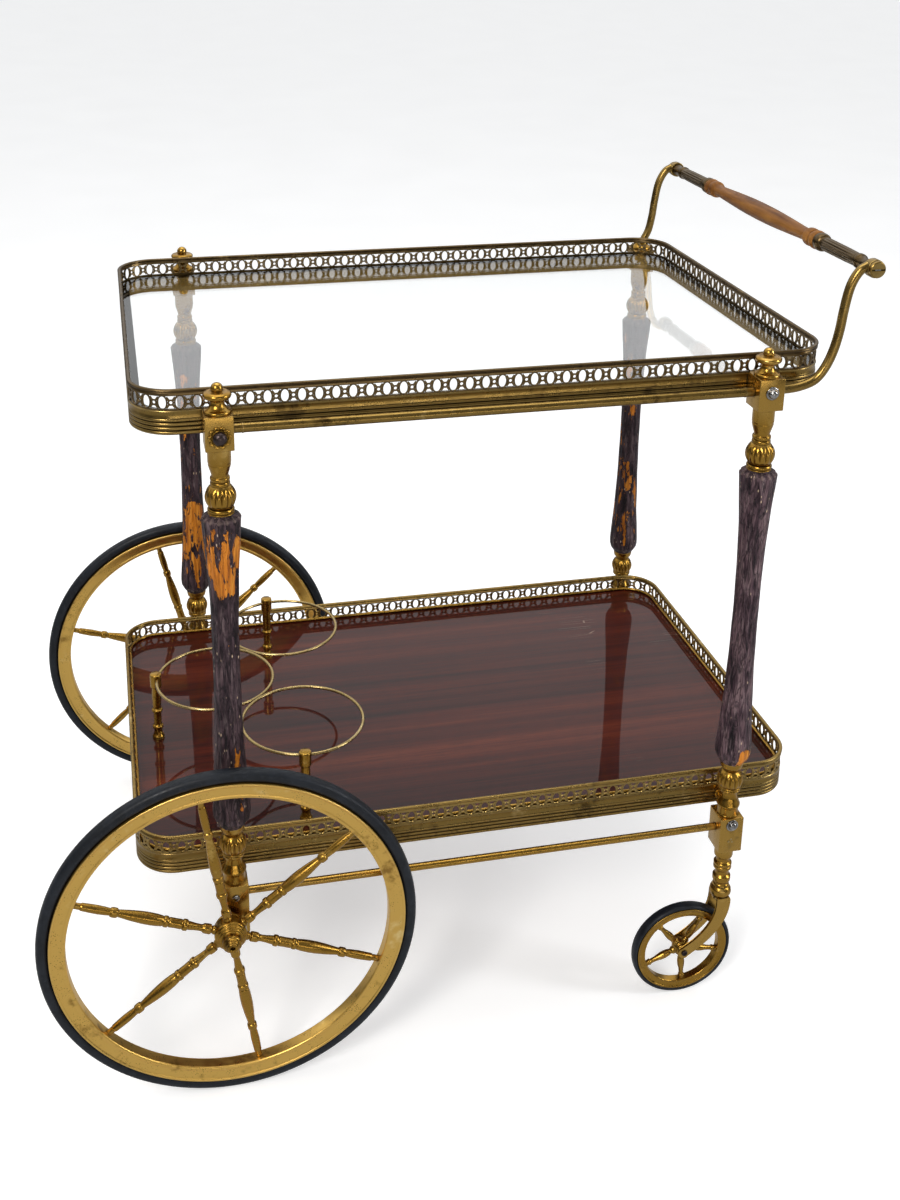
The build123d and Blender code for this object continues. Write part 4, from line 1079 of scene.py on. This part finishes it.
sleeve = rounded([
    (7.8, 141.3), (9.4, 142.2), (9.8, 145.4), (9.7, 148.4), (8.8, 151.4), (6.9, 152.8), (6.5, 154.4),
    (7.3, 156),
], 0.7)
sleeve += [(7.6, 160), (7.6, 180), (7.5, 200), (7.1, 219)]
sleeve += rounded([
    (7, 221), (6.4, 221.8), (7.9, 223.4), (7.9, 227.6), (6.6, 229), (5.6, 234), (6, 240), (6.8, 243),
    (6.8, 247.4),
], 0.7)


def reeding(r, z, a):
    """Flutes along the middle of a handle sleeve."""
    if 157 < z < 220:
        t = min(1, (z - 157) / 4, (220 - z) / 4)
        return r * (1 - 0.12 * t * (1 - abs(math.cos(a * 7))) ** 1.2)
    return r


for side, name, node in (
    (-1, "near_fluted_sleeve", "handle_sleeve_near"), (1, "far_fluted_sleeve", "handle_sleeve_far")
):
    Shape().turn(sleeve, 112, to_y(hx, 0, hz, side), reeding).done(name, brass_dark, node)


def slotted_disc(r, z0, z1, half_slot=0.8, deep=1.5, around=48):
    """A screw head: a disc with a rounded rim and a straight slot across its top."""
    crown = r - 0.9
    edge = rounded([(r, z0), (r, z1 - 1.0), (crown, z1 - 0.1), (r - 1.6, z1)], 0.4)[:-1]
    verts, faces = lathe(edge, around)
    faces.pop()  # the top, which the two halves beside the slot close
    rim = verts[-around:]
    reach = math.sqrt(crown ** 2 - half_slot ** 2)
    for sign in (1, -1):
        arc = sorted((p for p in rim if p[1] * sign > half_slot + 0.05), key=lambda p: p[0])
        arc = [(-reach, sign * half_slot)] + [p[:2] for p in arc] + [(reach, sign * half_slot)]
        base, n = len(verts), len(arc)
        for z in (z1, z1 - deep):
            verts += [(px, py, z) for px, py in arc]
        faces.append(tuple(range(base, base + n)))
        faces += [tuple(base + i for i in face) for face in rows_joined(2, n)]
    base = len(verts)
    verts += [(x, y, z1 - deep) for x, y in circle_section(0, 0, crown, around)]
    faces.append(tuple(range(base, base + around)))
    return verts, faces


DISC_R, DISC_TALL = 8.5, 3.8
discs = Shape()
face = abs(legs["near_left"][1]) + 4.9
for side in (-1, 1):
    discs.add(*slotted_disc(DISC_R, face, face + DISC_TALL), to_y(hx, 0, hz, side))
discs.done("handle_disc_screws", brass_brown, "handle_end_screws")

# ---------------------------------------------------------------- bottle holder
RING_R, WIRE_R, RING_Z = 66.0, 1.75, 328.0
ring_1 = (-225.0, -26.0)
ring_2 = (ring_1[0] + 89.8, ring_1[1] + 101.0)
ring_3 = (ring_1[0] + 86.6, ring_1[1] - 104.0)
post_spots = [
    (ring_1[0] - 66.6, ring_1[1] + 13.5), (ring_2[0] - 11.2, ring_2[1] + 67),
    (ring_3[0] - 7, ring_3[1] - 67.6),
]
pt = mid("bottle_posts")[2].z
post = rounded([
    (5.6, pt), (6.4, pt - 0.5), (6.6, pt - 1.4), (6.6, pt - 15.4), (6.2, pt - 16.4), (4.9, pt - 17.2),
    (4.8, pt - 18.2), (5.2, pt - 24), (5.3, pt - 30), (4.7, pt - 42), (4.6, pt - 44.6), (5.9, pt - 45.4),
    (6.3, pt - 46.6), (6.2, pt - 48), (4.6, pt - 49.2), (4.4, pt - 56), (4.4, pt - 65.4), (5.8, pt - 66.6),
    (6.3, pt - 68), (6.2, pt - 70), (4.7, pt - 71.2), (4.6, pt - 74), (5.4, pt - 78), (6.8, pt - 80.4),
    (7, panel_hi),
], 0.5)
wire = circle_section(RING_R, 0, WIRE_R, 14)
posts, rings = Shape(), Shape()
for x, y in post_spots:
    posts.turn(post, 36, moved(x, y))
for x, y in (ring_1, ring_2, ring_3):
    rings.add(*ring_lathe(wire, 120), moved(x, y, RING_Z))
posts.done("holder_posts", brass_gold, "bottle_posts")
rings.done("holder_rings", brass_pale, "bottle_rings", 40)

# ---------------------------------------------------------------- big wheels
axle = mid("axle")[0]
wx, wr = axle.x, axle.z
wy = 284.4  # middle of each wheel, out from the cart's middle
tyre_r = 190.8
tyre_in, rim_in = 178.2, 162.0
hub_0, hub_1 = 271.8, 298.0
big_tyre = tyre_section((tyre_in + tyre_r) / 2 + 0.2, wy, 6.1, 7.4, 28)
half_rim = [
    (tyre_in + 0.6, 7.2), (tyre_in + 0.2, 8.4), (tyre_in - 1.4, 8.5), (tyre_in - 2.4, 7.4),
    (rim_in + 4.6, 6.6), (rim_in + 3.2, 7.4), (rim_in + 0.9, 7.0), (rim_in, 5.6),
]
big_rim = rounded(mirrored(half_rim, wy), 0.7, 2, True)
hub = rounded([
    (11.8, hub_0), (14.4, hub_0 + 0.6), (14.6, hub_0 + 3.8), (15.4, hub_0 + 4.6), (16.6, hub_0 + 5.4),
    (16.6, wy - 7.2), (15.9, wy - 6.6), (16.6, wy - 6), (16.6, wy + 5.2), (16, wy + 6.4), (14.4, wy + 7.2),
    (14.2, wy + 8.2), (13.6, wy + 8.8), (12.4, wy + 9), (12.2, wy + 10), (11.6, wy + 10.6),
    (10.2, wy + 10.8), (9.6, wy + 11.6), (9.6, hub_1),
], 0.4)
spoke = rounded([
    (3.4, 15.4), (4.4, 16.4), (4.4, 18.4), (3.4, 19.8), (3.6, 20.6), (5, 21.4), (5.1, 24.8), (4.9, 28.4),
    (3.6, 30.2), (3.3, 32.4), (3.6, 38), (4.3, 44.2), (4.2, 45.2), (5.6, 46.2), (5.8, 48.2), (5.6, 50.2),
    (4.2, 51), (5, 52.2), (4.8, 58), (5, 64.4), (4.3, 65.4), (5.5, 66.4), (5.7, 68.2), (5.5, 70),
    (4.6, 70.8), (5.2, 71.8), (5.8, 77), (6.1, 84), (6, 92), (5.2, 103), (3.7, 116.2), (3.6, 117.2),
    (4.8, 118.2), (5, 121.2), (4.8, 124.2), (3.6, 125.2), (4, 130), (4.4, 138), (4.2, 146), (3.9, 154),
    (3.2, 155.2), (3.1, rim_in + 1),
], 0.5)
cap = rounded([
    (9.2, 298.3), (9.9, 299), (9.9, 301.8), (9, 303.4), (6.9, 304.2), (6.8, 305.6), (6.4, 306.2),
    (5.5, 306.4), (5.4, 307.8), (4.6, 308.3), (2.8, 308.3), (2.3, 307.6), (2.2, 304.2), (0.2, 304),
], 0.4)
for side, key, first in ((-1, "near", 38.8), (1, "far", -43.6)):
    body = "wheel_" + key
    at = to_y(wx, 0, wr, side)
    Shape().add(*ring_lathe(big_tyre, 160), at).done(
        key + "_wheel_tyre_band", rubber, "wheel_" + key + "_tyre", 50, body=body, slot="rubber"
    )
    Shape().add(*ring_lathe(big_rim, 160), at).done(
        key + "_wheel_brass_rim", brass_rim, "wheel_" + key + "_rim", 40, body=body
    )
    Shape().turn(hub, 56, at).done(key + "_wheel_turned_hub", brass_gold, "wheel_" + key + "_hub", body=body)
    spokes = Shape()
    for i in range(6):
        turn = rotated(first + 60 * i, "Z") @ rotated(90, "Y")
        spokes.turn(spoke, 28, at @ moved(0, 0, wy) @ turn)
    spokes.done(key + "_wheel_turned_spokes", brass_gold, "wheel_" + key + "_spokes", body=body)
hub_caps = Shape()
for side in (-1, 1):
    hub_caps.turn(cap, 40, to_y(wx, 0, wr, side))
hub_caps.done("turned_hub_caps", brass_gold, "hub_caps")

# ---------------------------------------------------------------- casters
cr, trail = 57.7, 42.4
socket_profile = rounded([
    (10.2, 188.5), (10.2, 176.6), (9.6, 174.8), (7.6, 173.4), (7.2, 171.4), (7.4, 168.4), (8.8, 167.4),
    (9.9, 166.4), (9.9, 163.4), (9, 162.7), (9.9, 162), (9.9, 159.2), (8.8, 157.8), (7.6, 156.6),
    (7.3, 154.2), (7.4, 151.6), (8.8, 150.2), (9.9, 149), (10, 146.2), (9.8, 143.4), (8.6, 141.8),
    (7.8, 140.8), (7.8, 139.6), (8.8, 138.4), (9.4, 136.5),
], 0.5)
head_profile = rounded([
    (8.4, 136), (9.6, 135.2), (11.4, 132.4), (12, 129.2), (11.8, 126.6), (10.4, 123.6), (8.8, 121.9),
    (8.6, 119.2),
], 0.7)
arm_mid = [(0, 123.6), (0, 116), (-1.7, 105), (-6.6, 92.8), (-15.4, 80.2), (-27, 68.8), (-trail, cr)]
arm_half = [7.4, 7.4, 7.0, 6.5, 6.0, 5.6, 5.8]
END_R = 6.4
ARM_IN, ARM_OUT = 8.4, 11.6
arm_pts = smooth_curve([(x, h, z) for (x, z), h in zip(arm_mid, arm_half)], 6)


def fork_arm(y0, y1):
    """A flat bowed arm with rounded edges and a round end."""
    left, right = [], []
    for i, (x, h, z) in enumerate(arm_pts):
        a = Vector(arm_pts[max(i - 1, 0)])
        b = Vector(arm_pts[min(i + 1, len(arm_pts) - 1)])
        d = Vector((b.x - a.x, b.z - a.z)).normalized()
        n = Vector((-d.y, d.x))
        left.append((x + n.x * h, z + n.y * h))
        right.append((x - n.x * h, z - n.y * h))
    end = Vector((arm_pts[-1][0], arm_pts[-1][2]))
    first = math.atan2(left[-1][1] - end.y, left[-1][0] - end.x)
    round_end = []
    for k in range(1, 14):
        t = first - math.pi * k / 14
        round_end.append((end.x + END_R * math.cos(t), end.y + END_R * math.sin(t)))
    outline = left + round_end + right[::-1]
    n = len(outline)
    verts = []
    e = 0.5
    for depth, inset in ((y0, e), (y0 + e, 0), (y1 - e, 0), (y1, e)):
        for i, p in enumerate(outline):
            t = Vector(outline[(i + 1) % n]) - Vector(outline[i - 1])
            q = Vector(p) - Vector((t.y, -t.x)).normalized() * inset
            verts.append((q.x, depth, q.y))
    return verts, [tuple(range(n)), tuple(range(3 * n, 4 * n))] + rows_joined(4, n)


small_tyre = tyre_section(55.05, 0, 2.6, 5.9, 24)
half_rim = [(52.9, 5), (52.5, 5.9), (51.2, 6), (50.3, 5), (46, 4.4), (45.2, 5), (43.9, 4.6), (43.6, 3.6)]
small_rim = rounded(mirrored(half_rim), 0.5, 2, True)
half_hub = [(5, -8), (7, -8), (7.6, -7.4), (7.6, -5.4), (9, -4.4), (9.2, 0)]
small_hub = rounded(both_ways(half_hub), 0.5)
small_spoke = rounded([
    (4.2, 6), (4.2, 10.6), (3, 12.4), (2.8, 13.4), (3.6, 15.4), (4.2, 21), (3.8, 26), (2.7, 32),
    (2.5, 37.6), (3.4, 38.6), (3.5, 40.4), (2.9, 41.4), (3.3, 44.6),
], 0.5)
pin_head = rounded([(3.3, 11.6), (3.3, 12.8), (2.9, 13.4), (1.9, 13.4), (1.7, 12.2), (0.3, 12.1)], 0.3)
sockets = Shape()
for key, leg, first in (("near", "near_right", 59.0), ("far", "far_right", 20.0)):
    x, y = legs[leg]
    place = moved(x, y)
    sockets.turn(socket_profile, 48, place)
    swivel = "caster_" + key + "_swivel"
    roller = "caster_" + key + "_roller"
    fork = Shape().turn(head_profile, 48, place)
    fork.add(*soft_box(15.2, 22.8, 5.0, 1.4, 3), place @ moved(0, 0, 121.4))
    for y0, y1 in ((ARM_IN, ARM_OUT), (-ARM_OUT, -ARM_IN)):
        fork.add(*fork_arm(y0, y1), place)
    fork.done(key + "_caster_fork_arms", brass_gold, "caster_" + key + "_fork", 40, body=swivel)
    # The pin heads take the near-black brass so each reads as a dark hole at the arm's end: painted shade.
    pin = Shape()
    for side in (-1, 1):
        pin.turn(pin_head, 32, to_y(x - trail, y, cr, side))
    pin.turn([(2.95, -12.0), (2.95, 12.0)], 24, to_y(x - trail, y, cr, 1))
    pin.done(key + "_caster_pin", brass_black, "caster_" + key + "_axle", 40, body=swivel)
    at = to_y(x - trail, y, cr, -1)
    Shape().add(*ring_lathe(small_tyre, 120), at).done(
        key + "_caster_tyre_band", rubber, "caster_" + key + "_tyre", 50, body=roller, slot="rubber"
    )
    wheel = Shape().add(*ring_lathe(small_rim, 120), at)
    wheel.turn(small_hub, 40, at)
    for i in range(5):
        turn = rotated(first + 72 * i, "Z") @ rotated(90, "Y")
        wheel.turn(small_spoke, 24, at @ turn)
    wheel.done(key + "_caster_spoked_wheel", brass_gold, "caster_" + key + "_wheel", body=roller)
sockets.done("caster_stem_sockets", brass_gold, "caster_sockets")

# ---------------------------------------------------------------- studio
floor_mesh = bpy.data.meshes.new("floor")
bm = bmesh.new()
bmesh.ops.create_grid(bm, x_segments=8, y_segments=8, size=14)
bm.to_mesh(floor_mesh)
bm.free()
floor = bpy.data.objects.new("floor", floor_mesh)
bpy.context.scene.collection.objects.link(floor)
floor_mesh.materials.append(floor_material())
floor.visible_glossy = False

world = bpy.data.worlds.new("studio")
bpy.context.scene.world = world
world.use_nodes = True
wt = world.node_tree
wt.nodes.clear()


def world_node(kind, *values, operation=None):
    """Outputs of a new world node whose first inputs take the values, sockets or constants."""
    node = wt.nodes.new("ShaderNode" + kind)
    if operation:
        node.operation = operation
    for socket, value in zip(node.inputs, values):
        if isinstance(value, bpy.types.NodeSocket):
            wt.links.new(value, socket)
        else:
            socket.default_value = value
    return node.outputs


def level_ramp(stops):
    """World brightness by height, from straight down (0) to straight up (1)."""
    node = wt.nodes.new("ShaderNodeValToRGB")
    node.color_ramp.interpolation = "EASE"
    while len(node.color_ramp.elements) < len(stops):
        node.color_ramp.elements.new(0.5)
    for element, (pos, level) in zip(node.color_ramp.elements, stops):
        element.position = pos
        element.color = (level, level, level, 1)
    wt.links.new(height, node.inputs[0])
    return node.outputs[0]


# the camera sees plain white; what lights and mirrors the cart is brighter above and behind it
_, away, up = world_node("SeparateXYZ", world_node("TexCoord")["Generated"])
height = world_node("MapRange", up, -1.0)[0]
sky_up = level_ramp(((0.50, 0.0), (0.55, 0.08), (0.67, 1.0)))
sky_back = world_node("MapRange", away, -0.25, 0.45, 0.22, 1.15)[0]
sky = world_node("Math", sky_up, sky_back, operation="MULTIPLY")[0]
ground = level_ramp(((0.0, 0.60), (0.36, 0.56), (0.48, 0.07), (0.52, 0.0)))
level = world_node("Math", sky, ground, operation="ADD")[0]
lit = world_node("Background", (0.97, 0.985, 1.0, 1), level)[0]
seen = world_node("Background", (0.97, 0.97, 0.97, 1))[0]
by_ray = world_node("MixShader", world_node("LightPath")["Is Camera Ray"], lit, seen)[0]
world_node("OutputWorld", by_ray)


def area(name, place, aim, size, power, colour=(1, 1, 1)):
    """A soft rectangular lamp at place, turned towards aim."""
    data = bpy.data.lights.new(name, "AREA")
    data.shape = "RECTANGLE"
    data.size, data.size_y = size
    data.energy = power
    data.color = colour
    lamp = bpy.data.objects.new(name, data)
    bpy.context.scene.collection.objects.link(lamp)
    lamp.location = place
    lamp.rotation_mode = "QUATERNION"
    lamp.rotation_quaternion = (Vector(aim) - Vector(place)).to_track_quat("-Z", "Y")


area("key", (-1.9, -2.6, 2.9), (0, 0, 0.45), (1.0, 1.6), 85, (1.0, 0.97, 0.93))
area("fill", (2.9, -1.4, 1.7), (0, 0, 0.45), (0.7, 2.0), 45, (0.95, 0.97, 1.0))
area("top", (0.1, 0.2, 3.4), (0, 0, 0.3), (2.4, 1.6), 30)
area("low", (0.2, -3.4, 0.6), (0, 0, 0.4), (2.6, 0.35), 12, (1.0, 0.95, 0.88))

cam_data = bpy.data.cameras.new("camera")
cam = bpy.data.objects.new("camera", cam_data)
bpy.context.scene.collection.objects.link(cam)
cam_data.sensor_width = 36
cam_data.sensor_fit = "AUTO"
cam_data.lens = 42.744
cam_data.shift_x = 0.0292
cam_data.shift_y = -0.2125
cam.location = (-0.3161, -1.4744, 1.2033)
cam.rotation_euler = (math.radians(71.8215), math.radians(-0.5419), math.radians(-12.3659))
bpy.context.scene.camera = cam
bpy.context.scene.view_settings.view_transform = "Standard"
bpy.context.scene.view_settings.exposure = 0.0
